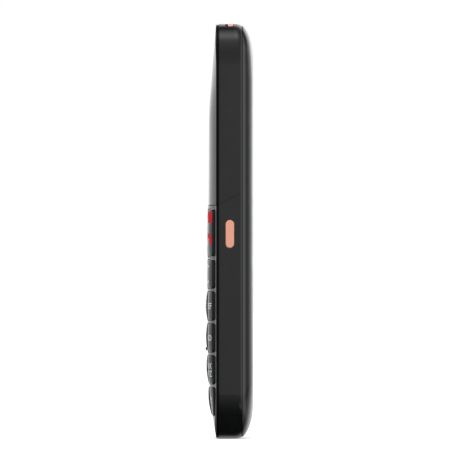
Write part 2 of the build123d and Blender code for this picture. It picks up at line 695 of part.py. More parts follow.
# Button ends and the switches that they press
FLANGE_X = HALF_WIDTH - WALL - LIP_CLEARANCE
STEM = 0.4
SWITCH_FACE_X = FLANGE_X - BUTTON_FLANGE - STEM - BUTTON_TRAVEL - 0.05
SWITCH_HIGH = 1.5
board_block(
    "side_switch", SWITCH_FACE_X - SWITCH_DEPTH / 2, SIDE_BUTTON_Z, SWITCH_DEPTH, 4.4, SWITCH_HIGH, 0.2
)
ROCKER_STEM_Z = 5.5
ROCKER_SWITCH_X = FLANGE_X - BUTTON_FLANGE - STEM - 0.25
board_block(
    "volume_switch",
    -ROCKER_SWITCH_X + SWITCH_DEPTH / 2,
    ROCKER_Z,
    SWITCH_DEPTH,
    2 * ROCKER_STEM_Z + 3.0,
    SWITCH_HIGH,
    0.2,
)

# Copper side button: pill with a rounded face, a flange inside the wall and a stem
with BuildPart() as side_button:
    with BuildSketch(Plane.YZ.offset(FLANGE_X)):
        with Locations((SIDE_BUTTON_Y, SIDE_BUTTON_Z)):
            pill(SIDE_BUTTON_LENGTH, SIDE_BUTTON_WIDTH)
    extrude(amount=HALF_WIDTH + BUTTON_PROUD - FLANGE_X)
    chamfer(side_button.faces().sort_by(Axis.X)[-1].edges(), BUTTON_CHAMFER)
    with BuildSketch(Plane.YZ.offset(FLANGE_X - BUTTON_FLANGE)):
        with Locations((SIDE_BUTTON_Y, SIDE_BUTTON_Z)):
            pill(SIDE_BUTTON_LENGTH + 1.2, SIDE_BUTTON_WIDTH + 1.0)
    extrude(amount=BUTTON_FLANGE)
    with BuildSketch(Plane.YZ.offset(FLANGE_X - BUTTON_FLANGE - STEM)):
        with Locations((SIDE_BUTTON_Y, SIDE_BUTTON_Z)):
            Rectangle(1.2, 2.0)
    extrude(amount=STEM)
side_button.part.label = "side_button"
export_step(side_button.part, "parts/side_button.step")

# Volume rocker on the left side: long pill on a short central flange, one stem toward each end
with BuildPart() as volume_rocker:
    with BuildSketch(Plane.YZ.offset(-HALF_WIDTH - BUTTON_PROUD)):
        with Locations((SIDE_BUTTON_Y, ROCKER_Z)):
            pill(ROCKER_LENGTH, SIDE_BUTTON_WIDTH)
    extrude(amount=HALF_WIDTH + BUTTON_PROUD - FLANGE_X)
    chamfer(volume_rocker.faces().sort_by(Axis.X)[0].edges(), BUTTON_CHAMFER)
    with BuildSketch(Plane.YZ.offset(-FLANGE_X)):
        with Locations((SIDE_BUTTON_Y, ROCKER_Z)):
            Rectangle(SIDE_BUTTON_WIDTH + 1.0, 6.0)
    extrude(amount=BUTTON_FLANGE)
    with BuildSketch(Plane.YZ.offset(-FLANGE_X)):
        with Locations((SIDE_BUTTON_Y, ROCKER_Z - ROCKER_STEM_Z), (SIDE_BUTTON_Y, ROCKER_Z + ROCKER_STEM_Z)):
            Rectangle(1.2, 1.5)
    extrude(amount=BUTTON_FLANGE + STEM)
volume_rocker.part.label = "volume_rocker"
export_step(volume_rocker.part, "parts/volume_rocker.step")

# Top button: flush with the rounded shoulder, with a flange below the wall
TOP_FLANGE_REACH = TOP_BUTTON_X + TOP_BUTTON_LENGTH / 2 + 0.4 - (HALF_WIDTH - CORNER_R)
INNER_R = CORNER_R - WALL
TOP_FLANGE_Z = LENGTH - CORNER_R + math.sqrt(INNER_R**2 - TOP_FLANGE_REACH**2) - LIP_CLEARANCE
with BuildPart() as top_button:
    with BuildSketch(Plane.XY.offset(TOP_FLANGE_Z)):
        with Locations((TOP_BUTTON_X, TOP_BUTTON_Y)):
            SlotOverall(TOP_BUTTON_LENGTH, TOP_BUTTON_WIDTH)
    extrude(amount=LENGTH - TOP_FLANGE_Z + 1)
    with BuildSketch(facing(TOP_SLOT_WIDTH)):
        body_outline()
    extrude(amount=2 * TOP_SLOT_WIDTH, mode=Mode.INTERSECT)
    with BuildSketch(Plane.XY.offset(TOP_FLANGE_Z - BUTTON_FLANGE)):
        with Locations((TOP_BUTTON_X, TOP_BUTTON_Y)):
            SlotOverall(TOP_BUTTON_LENGTH + 0.8, TOP_SLOT_WIDTH + 0.6)
    extrude(amount=BUTTON_FLANGE)
    with BuildSketch(Plane.XY.offset(TOP_FLANGE_Z - BUTTON_FLANGE - STEM)):
        with Locations((TOP_BUTTON_X, TOP_BUTTON_Y)):
            Rectangle(2.0, 1.0)
    extrude(amount=STEM)
top_button.part.label = "top_button"
export_step(top_button.part, "parts/top_button.step")
TOP_SWITCH_Z = TOP_FLANGE_Z - BUTTON_FLANGE - STEM - BUTTON_TRAVEL - 0.05
board_block(
    "top_switch", TOP_BUTTON_X, TOP_SWITCH_Z - SWITCH_DEPTH / 2, 4.4, SWITCH_DEPTH, SWITCH_HIGH, 0.2
)

# Components on the back of the board
CAN_WIDTH = HALF_WIDTH - 2 * CAN_INNER_X
for label, side in (("shield_can_left", -1), ("shield_can_right", 1)):
    board_block(label, side * HALF_WIDTH / 2, LENGTH - CAN_DROP, CAN_WIDTH, CAN_HEIGHT, CAN_HIGH, 0.6)
board_block("sim_holder", 0.0, SIM_Z, SIM_WIDTH, SIM_HEIGHT, WELL_FLOOR_Y - BOARD_BACK_Y - FIT)

# USB port: rounded metal shell, open at the foot, with a contact tongue
with BuildPart() as usb_port:
    with BuildSketch(Plane.XY.offset(0.6)):
        with Locations((0, USB_Y)):
            RectangleRounded(USB_WIDTH, USB_HEIGHT, 0.8)
    extrude(amount=USB_DEPTH)
    with BuildSketch(Plane.XY.offset(0.6)):
        with Locations((0, USB_Y)):
            RectangleRounded(USB_WIDTH - 2 * USB_SHELL, USB_HEIGHT - 2 * USB_SHELL, 0.5)
    extrude(amount=USB_DEPTH - 0.6, mode=Mode.SUBTRACT)
    with BuildSketch(Plane.XY.offset(1.2)):
        with Locations((0, USB_Y)):
            Rectangle(USB_WIDTH - 2.6, 0.6)
    extrude(amount=USB_DEPTH - 1.0)
usb_port.part.label = "usb_port"
export_step(usb_port.part, "parts/usb_port.step")

# Microphone on the front of the board, behind its pinhole
with BuildPart() as microphone:
    with BuildSketch(facing(BOARD_FRONT_Y)):
        with Locations((MICROPHONE_X, MICROPHONE_Z)):
            Circle(MICROPHONE_R)
    extrude(amount=BOARD_FRONT_Y - SEAM_Y - 0.3)
microphone.part.label = "microphone"
export_step(microphone.part, "parts/microphone.step")

# Coin vibration motor on the board
with BuildPart() as vibration_motor:
    with BuildSketch(facing(DECK_FRONT_Y - 0.3)):
        with Locations((HALF_WIDTH - MOTOR_INSET, SPEAKER_Z)):
            Circle(MOTOR_R)
    extrude(amount=DECK_FRONT_Y - 0.3 - BOARD_BACK_Y)
vibration_motor.part.label = "vibration_motor"
export_step(vibration_motor.part, "parts/vibration_motor.step")

# Loudspeaker capsule under its opening in the deck
with BuildPart() as loudspeaker:
    with BuildSketch(facing(DECK_FRONT_Y)):
        with Locations((0, SPEAKER_Z)):
            RectangleRounded(SPEAKER_WIDTH, SPEAKER_HEIGHT, 2.0)
    extrude(amount=DECK_FRONT_Y - BOARD_BACK_Y)
    with BuildSketch(facing(DECK_FRONT_Y)):
        with Locations((0, SPEAKER_Z)):
            RectangleRounded(SPEAKER_WIDTH - 3.0, SPEAKER_HEIGHT - 3.0, 1.5)
    extrude(amount=0.4, mode=Mode.SUBTRACT)
loudspeaker.part.label = "loudspeaker"
export_step(loudspeaker.part, "parts/loudspeaker.step")

# Antenna carrier: thin-walled plastic box, open toward the board
ANTENNA_WIDTH = HALF_WIDTH - SPEAKER_WIDTH / 2 - ANTENNA_GAP - ANTENNA_MARGIN
ANTENNA_X = -(SPEAKER_WIDTH / 2 + ANTENNA_GAP + ANTENNA_WIDTH / 2)
ANTENNA_WALL = 1.0
ANTENNA_LID = 0.8
with BuildPart() as antenna_carrier:
    with BuildSketch(facing(DECK_FRONT_Y - FIT)):
        with Locations((ANTENNA_X, SPEAKER_Z)):
            RectangleRounded(ANTENNA_WIDTH, ANTENNA_HEIGHT, 1.5)
    extrude(amount=DECK_FRONT_Y - FIT - BOARD_BACK_Y)
    with BuildSketch(facing(DECK_FRONT_Y - FIT - ANTENNA_LID)):
        with Locations((ANTENNA_X, SPEAKER_Z)):
            RectangleRounded(ANTENNA_WIDTH - 2 * ANTENNA_WALL, ANTENNA_HEIGHT - 2 * ANTENNA_WALL, 0.8)
    extrude(amount=DECK_FRONT_Y - FIT - ANTENNA_LID - BOARD_BACK_Y, mode=Mode.SUBTRACT)
antenna_carrier.part.label = "antenna_carrier"
export_step(antenna_carrier.part, "parts/antenna_carrier.step")

# Camera module: square base on the board, barrel through the deck up to its window
CAMERA_TIP_Y = BACK_Y - COVER_WALL - 0.3
with BuildPart() as camera_module:
    with BuildSketch(facing(DECK_FRONT_Y - FIT)):
        with Locations((0, CAMERA_Z)):
            RectangleRounded(CAMERA_BASE, CAMERA_BASE, 0.8)
    extrude(amount=DECK_FRONT_Y - FIT - BOARD_BACK_Y)
    with BuildSketch(facing(CAMERA_TIP_Y)):
        with Locations((0, CAMERA_Z)):
            Circle(CAMERA_BARREL_R)
    extrude(amount=CAMERA_TIP_Y - DECK_FRONT_Y + FIT)
    with BuildSketch(facing(CAMERA_TIP_Y)):
        with Locations((0, CAMERA_Z)):
            Circle(CAMERA_BARREL_R - 1.2)
    extrude(amount=0.8, taper=30, mode=Mode.SUBTRACT)
camera_module.part.label = "camera_module"
export_step(camera_module.part, "parts/camera_module.step")

# Torch lamp on the deck, under the light guide in the cover
with BuildPart() as torch_led:
    with BuildSketch(facing(DECK_BACK_Y + LED_HIGH)):
        with Locations((TORCH_X, CAMERA_Z)):
            Rectangle(LED_SIZE, LED_SIZE)
    extrude(amount=LED_HIGH)
torch_led.part.label = "torch_led"
export_step(torch_led.part, "parts/torch_led.step")

# Battery block and the spring contact block at the top of its well
with BuildPart() as battery:
    with BuildSketch(facing(WELL_FLOOR_BACK_Y + FIT + BATTERY_THICK)):
        with Locations((0, WELL_Z)):
            RectangleRounded(WELL_WIDTH - 2 * BATTERY_CLEARANCE, WELL_HEIGHT - 2 * BATTERY_CLEARANCE, 1.5)
    extrude(amount=BATTERY_THICK)
    chamfer(battery.faces().sort_by(Axis.Y)[-1].edges(), 0.3)
battery.part.label = "battery"
export_step(battery.part, "parts/battery.step")

with BuildPart() as battery_contacts:
    with BuildSketch(facing(DECK_BACK_Y - 0.2)):
        with Locations((0, WELL_TOP_Z + WELL_WALL)):
            Rectangle(CONTACT_WIDTH, 2 * WELL_WALL)
    extrude(amount=DECK_BACK_Y - 0.2 - BOARD_BACK_Y)
    with BuildSketch(facing(DECK_BACK_Y - 0.5)):
        with Locations(*[(2.8 * i, WELL_TOP_Z) for i in (-1, 0, 1)]):
            Rectangle(1.0, 0.4)
    extrude(amount=1.0)
battery_contacts.part.label = "battery_contacts"
export_step(battery_contacts.part, "parts/battery_contacts.step")


# Battery cover: shell lofted through rounded outlines, with seating lip, tongues, camera and grille


def cover_outline(share, wall):
    """Outline at a share of the depth: it draws in quickly at the edge and levels at the back."""
    side = COVER_SIDE_ROLL * (1 - (1 - share**3) ** (1 / 3))
    end = COVER_END_ROLL * (1 - math.sqrt(1 - share**2))
    with Locations((0, LENGTH / 2)):
        RectangleRounded(
            WIDTH - 2 * (BACK_DRAW + wall + side),
            LENGTH - 2 * (BACK_DRAW + wall + end),
            CORNER_R - BACK_DRAW - wall - 0.35 * side,
        )


with BuildPart() as cover_hollow:
    for share in (0, 0.5, 0.83, 1):
        with BuildSketch(facing(COVER_RIM_Y + share * (COVER_DEPTH - COVER_WALL))):
            cover_outline(share, COVER_WALL)
    loft(ruled=True)
    with BuildSketch(facing(BACK_Y)):
        body_outline(LIP_INSET + LIP_THICK)
    extrude(amount=COVER_DEPTH, mode=Mode.INTERSECT)

with BuildPart() as battery_cover:
    for share in (0, 0.3, 0.56, 0.78, 0.92, 0.98, 1):
        with BuildSketch(facing(COVER_RIM_Y + share * COVER_DEPTH)):
            cover_outline(share, 0)
    loft(ruled=True)
    add(cover_hollow.part, mode=Mode.SUBTRACT)
    with BuildSketch(facing(COVER_RIM_Y)):
        body_outline(LIP_INSET)
        body_outline(LIP_INSET + LIP_THICK, mode=Mode.SUBTRACT)
    extrude(amount=COVER_RIM_Y - DECK_BACK_Y - LIP_CLEARANCE)
    with BuildSketch(facing(COVER_RIM_Y)):
        with Locations(*TONGUE_SITES):
            Rectangle(LIP_THICK, TONGUE_WIDTH)
    extrude(amount=COVER_RIM_Y - DECK_FRONT_Y + 0.3)
    with BuildSketch(facing(BACK_Y)):
        with Locations((0, CAMERA_Z)):
            Circle(CAMERA_WINDOW_R + FIT / 2)
    extrude(amount=COVER_WALL * 0.7, mode=Mode.SUBTRACT)
    with BuildSketch(facing(BACK_Y)):
        with Locations((0, CAMERA_Z)):
            Circle(CAMERA_WINDOW_R - 0.7)
        with Locations((TORCH_X, CAMERA_Z)):
            Circle(TORCH_R + FIT / 2)
        with Locations((0, SPEAKER_Z)):
            with GridLocations(0, GRILLE_PITCH, 1, GRILLE_SLOTS):
                SlotOverall(GRILLE_LENGTH, GRILLE_SLOT)
    extrude(amount=2 * COVER_WALL, mode=Mode.SUBTRACT)
battery_cover.part.label = "battery_cover"
export_step(battery_cover.part, "parts/battery_cover.step")

with BuildPart() as camera_window:
    with BuildSketch(facing(BACK_Y)):
        with Locations((0, CAMERA_Z)):
            Circle(CAMERA_WINDOW_R)
    extrude(amount=COVER_WALL * 0.7)
    chamfer(camera_window.faces().sort_by(Axis.Y)[-1].edges(), 0.15)
camera_window.part.label = "camera_window"
export_step(camera_window.part, "parts/camera_window.step")

with BuildPart() as torch_lens:
    with BuildSketch(facing(BACK_Y)):
        with Locations((TORCH_X, CAMERA_Z)):
            Circle(TORCH_R)
    extrude(amount=BACK_Y - DECK_BACK_Y - LED_HIGH - 0.3)
    chamfer(torch_lens.faces().sort_by(Axis.Y)[-1].edges(), 0.15)
torch_lens.part.label = "torch_lens"
export_step(torch_lens.part, "parts/torch_lens.step")
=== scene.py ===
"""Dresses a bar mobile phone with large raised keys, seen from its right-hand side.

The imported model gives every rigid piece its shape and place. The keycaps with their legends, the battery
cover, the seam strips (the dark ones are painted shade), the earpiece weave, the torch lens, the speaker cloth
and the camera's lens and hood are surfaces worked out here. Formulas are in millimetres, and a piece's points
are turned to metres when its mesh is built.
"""

import math

import bmesh
import bpy
import numpy as np
from bpy.props import FloatProperty, FloatVectorProperty, PointerProperty
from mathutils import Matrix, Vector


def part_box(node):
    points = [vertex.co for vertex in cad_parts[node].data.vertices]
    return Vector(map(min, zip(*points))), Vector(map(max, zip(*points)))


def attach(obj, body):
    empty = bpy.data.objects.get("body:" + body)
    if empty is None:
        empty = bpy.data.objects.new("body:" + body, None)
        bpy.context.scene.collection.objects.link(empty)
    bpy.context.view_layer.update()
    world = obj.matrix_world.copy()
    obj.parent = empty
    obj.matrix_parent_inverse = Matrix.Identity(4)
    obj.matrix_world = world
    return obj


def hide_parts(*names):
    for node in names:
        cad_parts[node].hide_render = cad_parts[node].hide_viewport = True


bl_info = {
    "name": "Bar Phone Dresser",
    "version": (1, 0, 0),
    "blender": (4, 5, 0),
    "location": "View3D > Sidebar > Bar Phone",
    "description": "Keycaps, legends, trim, finishes and studio for a bar mobile phone with raised keys",
    "category": "Object",
}

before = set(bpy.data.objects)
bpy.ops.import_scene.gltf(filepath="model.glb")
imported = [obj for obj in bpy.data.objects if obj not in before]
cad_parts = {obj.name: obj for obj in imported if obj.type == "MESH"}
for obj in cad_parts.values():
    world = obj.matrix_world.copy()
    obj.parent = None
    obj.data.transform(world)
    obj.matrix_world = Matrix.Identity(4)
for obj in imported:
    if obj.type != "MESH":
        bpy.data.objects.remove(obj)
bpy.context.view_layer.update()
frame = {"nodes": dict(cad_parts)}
MM = 0.001


def node_box(name):
    """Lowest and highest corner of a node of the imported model, in millimetres."""
    low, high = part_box(name)
    return np.array(low) / MM, np.array(high) / MM


def node_middle(name):
    """Middle of a node's box, in millimetres."""
    low, high = node_box(name)
    return (low + high) / 2


# Body and shell stations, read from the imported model
FRAME_LOW, FRAME_HIGH = node_box("mid_frame")
COVER_LOW, COVER_HIGH = node_box("battery_cover")
HALF_WIDTH = FRAME_HIGH[0]
LENGTH = FRAME_HIGH[2]
SEAM_Y = FRAME_LOW[1]
MID_BACK_Y = FRAME_HIGH[1]
BACK_Y = COVER_HIGH[1]
COVER_INSET = HALF_WIDTH - COVER_HIGH[0]
PARTING_Z = node_box("display_fascia")[0][2]
CAMERA = node_middle("camera_window")[[0, 2]]
TORCH = node_middle("torch_lens")[[0, 2]]
SPEAKER = node_middle("loudspeaker")[[0, 2]]

# The cover: depth from rim to back, wall, how far its sides and ends draw in, the powers by which its ends
# do, how its corners tighten with the sides and how full those of the top are
COVER_DEPTH = 3.3
COVER_RIM_Y = BACK_Y - COVER_DEPTH
COVER_WALL = 1.0
COVER_SIDE_ROLL = 8.0
COVER_END_ROLL = 11.0
COVER_END_START = 1 / 0.8
COVER_END_POWER = 1 / 2.4
COVER_CORNER_SHARE = 0.35
COVER_TOP_FULLNESS = 1.6

# Its holes, the window's seat, the speaker slots, the lip that seats in the frame and the tongues
WINDOW_SEAT_R = 4.65
WINDOW_SEAT_DEPTH = 0.7
CAMERA_HOLE_R = 3.9
TORCH_HOLE_R = 1.95
SLOT_HALF_LENGTH = 4.55
SLOT_RADIUS = 0.45
SLOT_PITCH = 2.2
SLOT_COUNT = 4
LIP_INSET = 1.65
LIP_THICKNESS = 0.8
LIP_REACH = 0.77
LIP_ROOT = 0.9
TONGUE_INSET = 2.05
TONGUE_HALF = (0.4, 3.0)
TONGUE_STATIONS = (24, 50, LENGTH - 22)

# The front's law, the same as the part's: a width share times a length profile
CORNER_R = 14.0
FRONT_RIM = 0.1
SIDE_ROLL = 12.0
SIDE_POWER = 2.6
DISPLAY_HEIGHT = 2.47
KEYPAD_HEIGHT = 2.81
KEYPAD_PEAK_Z = 38.0
KEYPAD_TOP_DROP = 0.15
CHIN_RATE = 2.19e-4
CHIN_POWER = 2.6

# Seam strips; the dark ones at the front and in the parting are painted shade. At the front: inset of the inner
# face, depth behind the seam plane and half width. At the back: inset behind the cover's side, half thickness and
# how far it laps each edge of the gap. Then the parting shade strip's section, as height over the front and place
# along the length, and its gap at each end
FRONT_STRIP_SEAT = 0.445
FRONT_STRIP_DEPTH = 0.315
FRONT_STRIP_HALF = 0.28
BACK_STRIP_INSET = 0.5
BACK_STRIP_HALF_THICK = 0.38
BACK_STRIP_LAP = 0.01
PARTING_SHADE_SECTION = [(0.02, -0.1), (0.02, 0.14), (-0.4, 0.14), (-0.4, -0.1)]
PARTING_SHADE_END_GAP = 0.03

# Key crowns, the same as the part's but for the outer keys' drops, row by row
KEY_EDGE = 0.7
KEY_BASE_Y = -4.4
KEY_CORNER_R = 0.8
NAV_CORNER_R = 0.9
SIDE_WALL_HEIGHT = 1.28
SHOULDER_RUN = 5.0
SIDE_KEY_CROWN = 0.1
SIDE_KEY_BARREL = 0.15
SIDE_ROW_DROPS = [0.13, 0.13, 0.22, 0.2, 0.0, 0.0]
CENTRE_CROSS = 0.18
NUMBER_PROUD = 0.57
NUMBER_BARREL = 0.45
FLAT_PROUD = 0.17
FLAT_BARREL = 0.08
CHIN_EXTRA_PROUD = 0.09

# The dot on the 5: its place below the key's middle, and its radius share and height, ring by ring
NUB_DROP = 3.55
NUB_PROFILE = [(1, -0.3), (1, 0.1), (0.97, 0.2), (0.88, 0.28), (0.72, 0.34), (0.45, 0.37), (0.2, 0.38)]

# Points round a keycap, rings over its rolled edge, rings from there to its middle, and the roll's largest
# share of the wall
KEY_POINTS = 112
ROLL_RINGS = 7
CROWN_RINGS = 30
ROLL_WALL_SHARE = 0.6

KEY_ROWS = [
    ["left_key", "nav_rocker", "right_key"],
    ["quick_key_left", "quick_key_middle", "quick_key_right"],
    ["key_1", "key_2", "key_3"],
    ["key_4", "key_5", "key_6"],
    ["key_7", "key_8", "key_9"],
    ["key_star", "key_0", "key_hash"],
]
KEYS = {
    label: (column, row) for row, labels in enumerate(KEY_ROWS) for column, label in zip((-1, 0, 1), labels)
}
DIGITS = {
    "key_1": ("1", []),
    "key_2": ("2", ["ABC"]),
    "key_3": ("3", ["DEF"]),
    "key_4": ("4", ["GHI"]),
    "key_5": ("5", ["JKL"]),
    "key_6": ("6", ["MNO"]),
    "key_7": ("7", ["PQ", "RS"]),
    "key_8": ("8", ["TUV"]),
    "key_9": ("9", ["WX", "YZ"]),
    "key_star": ("*", []),
    "key_0": ("0", ["+"]),
    "key_hash": ("#", []),
}

# Legends: the digits' place and scales, the letters', the call keys' bars from a side edge and from the
# top edge, the handsets' reach, half widths, places from a side edge and the lower edge, and tilt, and the
# cells that all are cut in
DIGIT_SHIFT = 4.3
DIGIT_SCALE = {"*": 0.6, "#": 0.85}
LETTER_LINE_PITCH = 1.3
PLUS_SCALE = 0.75
BAR_LENGTH = 7.4
BAR_EDGE = 0.06
BAR_SPAN = np.array([4.3, 0.7])
HANDSET_REACH = 2.7
HANDSET_GRIP = 0.76
HANDSET_SWELL = 0.08
END_HANDSET = (3.7, 3.85)
CALL_HANDSET = (5.1, 4.5)
CALL_HANDSET_TILT = 48
CELL = 0.33

# Points round a turned form
TURNED_POINTS = 96

# Camera parts: outer radius of the lens, its edge below the module's tip, the edge's height and the dome's
CAMERA_LENS_R = 1.74
CAMERA_LENS_SINK = 0.85
CAMERA_LENS_EDGE = 0.1
CAMERA_LENS_DOME = 0.4

# The hood's section, as radius and depth from the window's inner face
HOOD_SECTION = [(3.35, -0.3), (3.84, -0.3), (3.84, -0.02), (3.5, -0.02)]

# The torch lens's ripples
RIPPLE = 0.03
RIPPLE_PITCH = 0.3

# The speaker cloth's half sizes, depth under the back and thickness; then how far a weave rises, and the
# earpiece mesh's own depth and its weave's place in it and thickness
CLOTH_HALF = (5.6, 4.4)
CLOTH_SINK = 1.12
CLOTH_THICK = 0.06
WEAVE_RISE = 0.04
MESH_DEPTH = 0.25
WEAVE_SINK = 0.06
WEAVE_THICK = 0.05

# The witness line on the frame's sides: its height at y = 0 and its slope over y
SCORE_HEIGHT = 75.2
SCORE_SLOPE = 0.53

# Half sizes of the display behind its window, across and along
DISPLAY_HALF = {"X": 17.4, "Z": 17.6}

# Grey levels of the studio that reflections see: over the upward share of their direction in front and
# behind, and over its sideways share behind
FRONT_LEVELS = [
    (-1, 0.15), (0.0, 0.49), (0.06, 0.5), (0.26, 0.38), (0.51, 0.32), (0.73, 0.32), (0.9, 0.4), (0.97, 0.48),
    (1.0, 0.85),
]
BEHIND_LEVELS = [
    (-1, 0.5), (0.54, 0.5), (0.62, 0.25), (0.66, 0.1), (0.745, 0.08), (0.81, 0.03), (0.862, 0.05), (0.9, 0.25),
    (0.934, 0.3), (1.0, 0.85),
]
ASIDE_LEVELS = [(-1, 0.58), (-0.3, 0.58), (0.0, 0.5), (0.3, 0.85), (1.0, 0.95)]

# Grey levels of the floor that reflections see, over the distance to the phone's right in metres
FLOOR_LEVELS = [
    (0.0, 1.0), (0.012, 0.6), (0.0155, 0.55), (0.0168, 0.8), (0.0178, 0.26), (0.019, 0.02), (0.033, 0.03),
    (0.042, 0.13), (0.05, 0.2), (0.07, 0.33), (0.1, 0.4), (0.3, 0.65),
]
FLOOR_REACH = 0.4

# The bare floor in front of and behind the phone: the span over which it starts, the span to the right
# over which it ends, both in metres, and its level
BARE_START = (0.013, 0.018)
BARE_END = (0.04, 0.06)
BARE_LEVEL = 0.8

# Side and place of the lamp, in metres
LAMP_SIDE = 0.7
LAMP_PLACE = (0.1, 0.0, 0.95)

# The photo's frame: its side in pixels, a pixel's size in the plane of the side keys, and its middle
IMAGE_SIDE_PX = 461
PIXEL_MM = 0.3129
PLANE_X = 20.0
VIEW_Y = 0.344
VIEW_Z = 65.27
SENSOR = 36.0


def srgb(hex_text):
    """Linear red, green and blue with alpha 1 from an sRGB hex value."""
    channels = np.array([int(hex_text[i : i + 2], 16) for i in (1, 3, 5)]) / 255
    linear = np.where(channels <= 0.04045, channels / 12.92, ((channels + 0.055) / 1.055) ** 2.4)
    return (*linear.tolist(), 1.0)


def length_property(name, description, default_mm):
    """A size that a user may change, given in millimetres and kept in metres."""
    return FloatProperty(
        name=name, description=description, default=default_mm * MM, unit="LENGTH", precision=6
    )


def colour_property(name, description, hex_text):
    """A colour that a user may change, given as an sRGB hex value."""
    return FloatVectorProperty(
        name=name, description=description, default=srgb(hex_text), size=4, subtype="COLOR", min=0, max=1
    )


class PhoneSizes(bpy.types.PropertyGroup):
    edge_roll: length_property("Key edge roll", "Radius of the rolled edge round a keycap's top", 0.32)
    digit_height: length_property("Digit height", "Height of a printed digit", 3.6)
    letter_height: length_property("Letter height", "Height of the small printed letters", 1.85)
    legend_margin: length_property("Legend margin", "Room between the letters and a key's right edge", 0.6)
    icon_stroke: length_property("Icon stroke", "Line width of the printed symbols", 0.55)
    film: length_property("Print film", "Thickness of the printed legends", 0.03)
    nub_width: length_property("Nub width", "Width of the raised dot on the 5", 1.0)
    weave_pitch: length_property("Weave pitch", "Distance between the wires of the earpiece mesh", 0.3)
    cloth_pitch: length_property("Cloth pitch", "Distance between the threads of the speaker cloth", 0.4)
    gasket: length_property("Gasket thickness", "Thickness of the rubber strip in the seams", 0.12)


class PhoneColours(bpy.types.PropertyGroup):
    frame: colour_property("Frame lacquer", "Satin lacquer on the side frame and cover", "#0E0F10")
    fascia: colour_property("Fascia", "Hard-coated front fascia", "#131415")
    keycap: colour_property("Keycaps", "Moulded keycaps", "#0E0F10")
    legend: colour_property("Legends", "Printed digits and letters", "#DADCDD")
    end_red: colour_property("End-call red", "Printed red of the right-hand key", "#C8041A")
    call_green: colour_property("Call green", "Printed green of the left-hand key", "#1E9E45")
    copper: colour_property("Copper", "Anodised side and top buttons", "#F5AE93")
    # Colour of the dark seam strips, which are painted shade
    rubber: colour_property("Rubber", "Seam strips and painted seam shade", "#030303")


class PhoneStudio(bpy.types.PropertyGroup):
    lens: FloatProperty(
        name="Lens", description="Focal length of the camera", default=1000, min=50, unit="CAMERA"
    )
    daylight: FloatProperty(name="Daylight", description="Strength of the even light all round", default=0.9)
    softbox: FloatProperty(
        name="Softbox", description="Power of the large lamp overhead", default=2.2, unit="POWER"
    )


def add(tree, kind, inputs=None, **settings):
    """Adds one node with its settings; inputs maps a socket to a value or to the output that feeds it."""
    node = tree.nodes.new(kind)
    for name, value in settings.items():
        setattr(node, name, value)
    for socket, value in (inputs or {}).items():
        if isinstance(value, bpy.types.NodeSocket):
            tree.links.new(value, node.inputs[socket])
        else:
            node.inputs[socket].default_value = value
    return node


def maths(tree, operation, *values):
    """Output of one step of arithmetic."""
    return add(tree, "ShaderNodeMath", dict(enumerate(values)), operation=operation).outputs[0]


def spread(tree, value, start, stop, low=0.0, high=1.0):
    """Output that runs from low to high while a value runs from start to stop, and stays there beyond."""
    ends = {"Value": value, "From Min": start, "From Max": stop, "To Min": low, "To Max": high}
    return add(tree, "ShaderNodeMapRange", ends).outputs["Result"]


def noise(tree, place, grain, **inputs):
    """Output of a noise whose grains are so many millimetres wide."""
    inputs = {"Vector": place, "Scale": 1 / (grain * MM), **inputs}
    return add(tree, "ShaderNodeTexNoise", inputs).outputs["Fac"]


def mixed(tree, share, first, second):
    """Output of two colours mixed by a share of the second."""
    return add(tree, "ShaderNodeMix", {0: share, 6: first, 7: second}, data_type="RGBA").outputs[2]


def either(tree, share, first, second):
    """Output of two shaders mixed by a share of the second."""
    return add(tree, "ShaderNodeMixShader", {0: share, 1: first, 2: second}).outputs[0]


def object_place(tree):
    """Output of the point in the shared frame, in metres."""
    return add(tree, "ShaderNodeTexCoord").outputs["Object"]


def stations(tree, place):
    """Outputs X, Y and Z of a point or direction."""
    return add(tree, "ShaderNodeSeparateXYZ", {"Vector": place}).outputs


def ramp(tree, value, stops, start=0.0, stop=1.0):
    """Grey levels over a value, given as pairs of place and level; the value runs from start to stop."""
    node = add(tree, "ShaderNodeValToRGB", {"Fac": spread(tree, value, start, stop)})
    band = node.color_ramp
    for _ in stops[2:]:
        band.elements.new(0.5)
    for element, (place, grey) in zip(band.elements, stops):
        element.position = (place - start) / (stop - start)
        element.color = (grey, grey, grey, 1)
    return node.outputs["Color"]


def finish(name, colour, roughness, grain, depth, drift=0.12, handling=0.05, **constants):
    """Material with what every made surface has: a colour that drifts a little over centimetres,
    roughness that varies where it is handled, and a grain of real width and depth as bump. The colour is
    a linear one or an sRGB hex value."""
    colour = srgb(colour) if isinstance(colour, str) else colour
    material = bpy.data.materials.new(name)
    material.use_nodes = True
    tree = material.node_tree
    shader = tree.nodes["Principled BSDF"]
    for socket, value in constants.items():
        shader.inputs[socket.replace("_", " ")].default_value = value
    place = object_place(tree)
    tone = spread(tree, noise(tree, place, 18, Detail=2.0), 0, 1, 1 - drift, 1 + drift)
    tinted = add(tree, "ShaderNodeVectorMath", {0: colour[:3], 1: tone}, operation="MULTIPLY")
    tree.links.new(tinted.outputs["Vector"], shader.inputs["Base Color"])
    smudge = noise(tree, place, 5, Detail=5.0, Distortion=0.6)
    sheen = spread(tree, smudge, 0.3, 0.7, max(0.0, roughness - handling), roughness + handling)
    tree.links.new(sheen, shader.inputs["Roughness"])
    grains = noise(tree, place, grain, Detail=2.0)
    relief = add(tree, "ShaderNodeBump", {"Height": grains, "Distance": depth * MM, "Strength": 1.0})
    tree.links.new(relief.outputs["Normal"], shader.inputs["Normal"])
    return material


def dress(material, *names):
    """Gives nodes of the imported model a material."""
    for name in names:
        mesh = frame["nodes"][name].data
        mesh.materials.clear()
        mesh.materials.append(material)


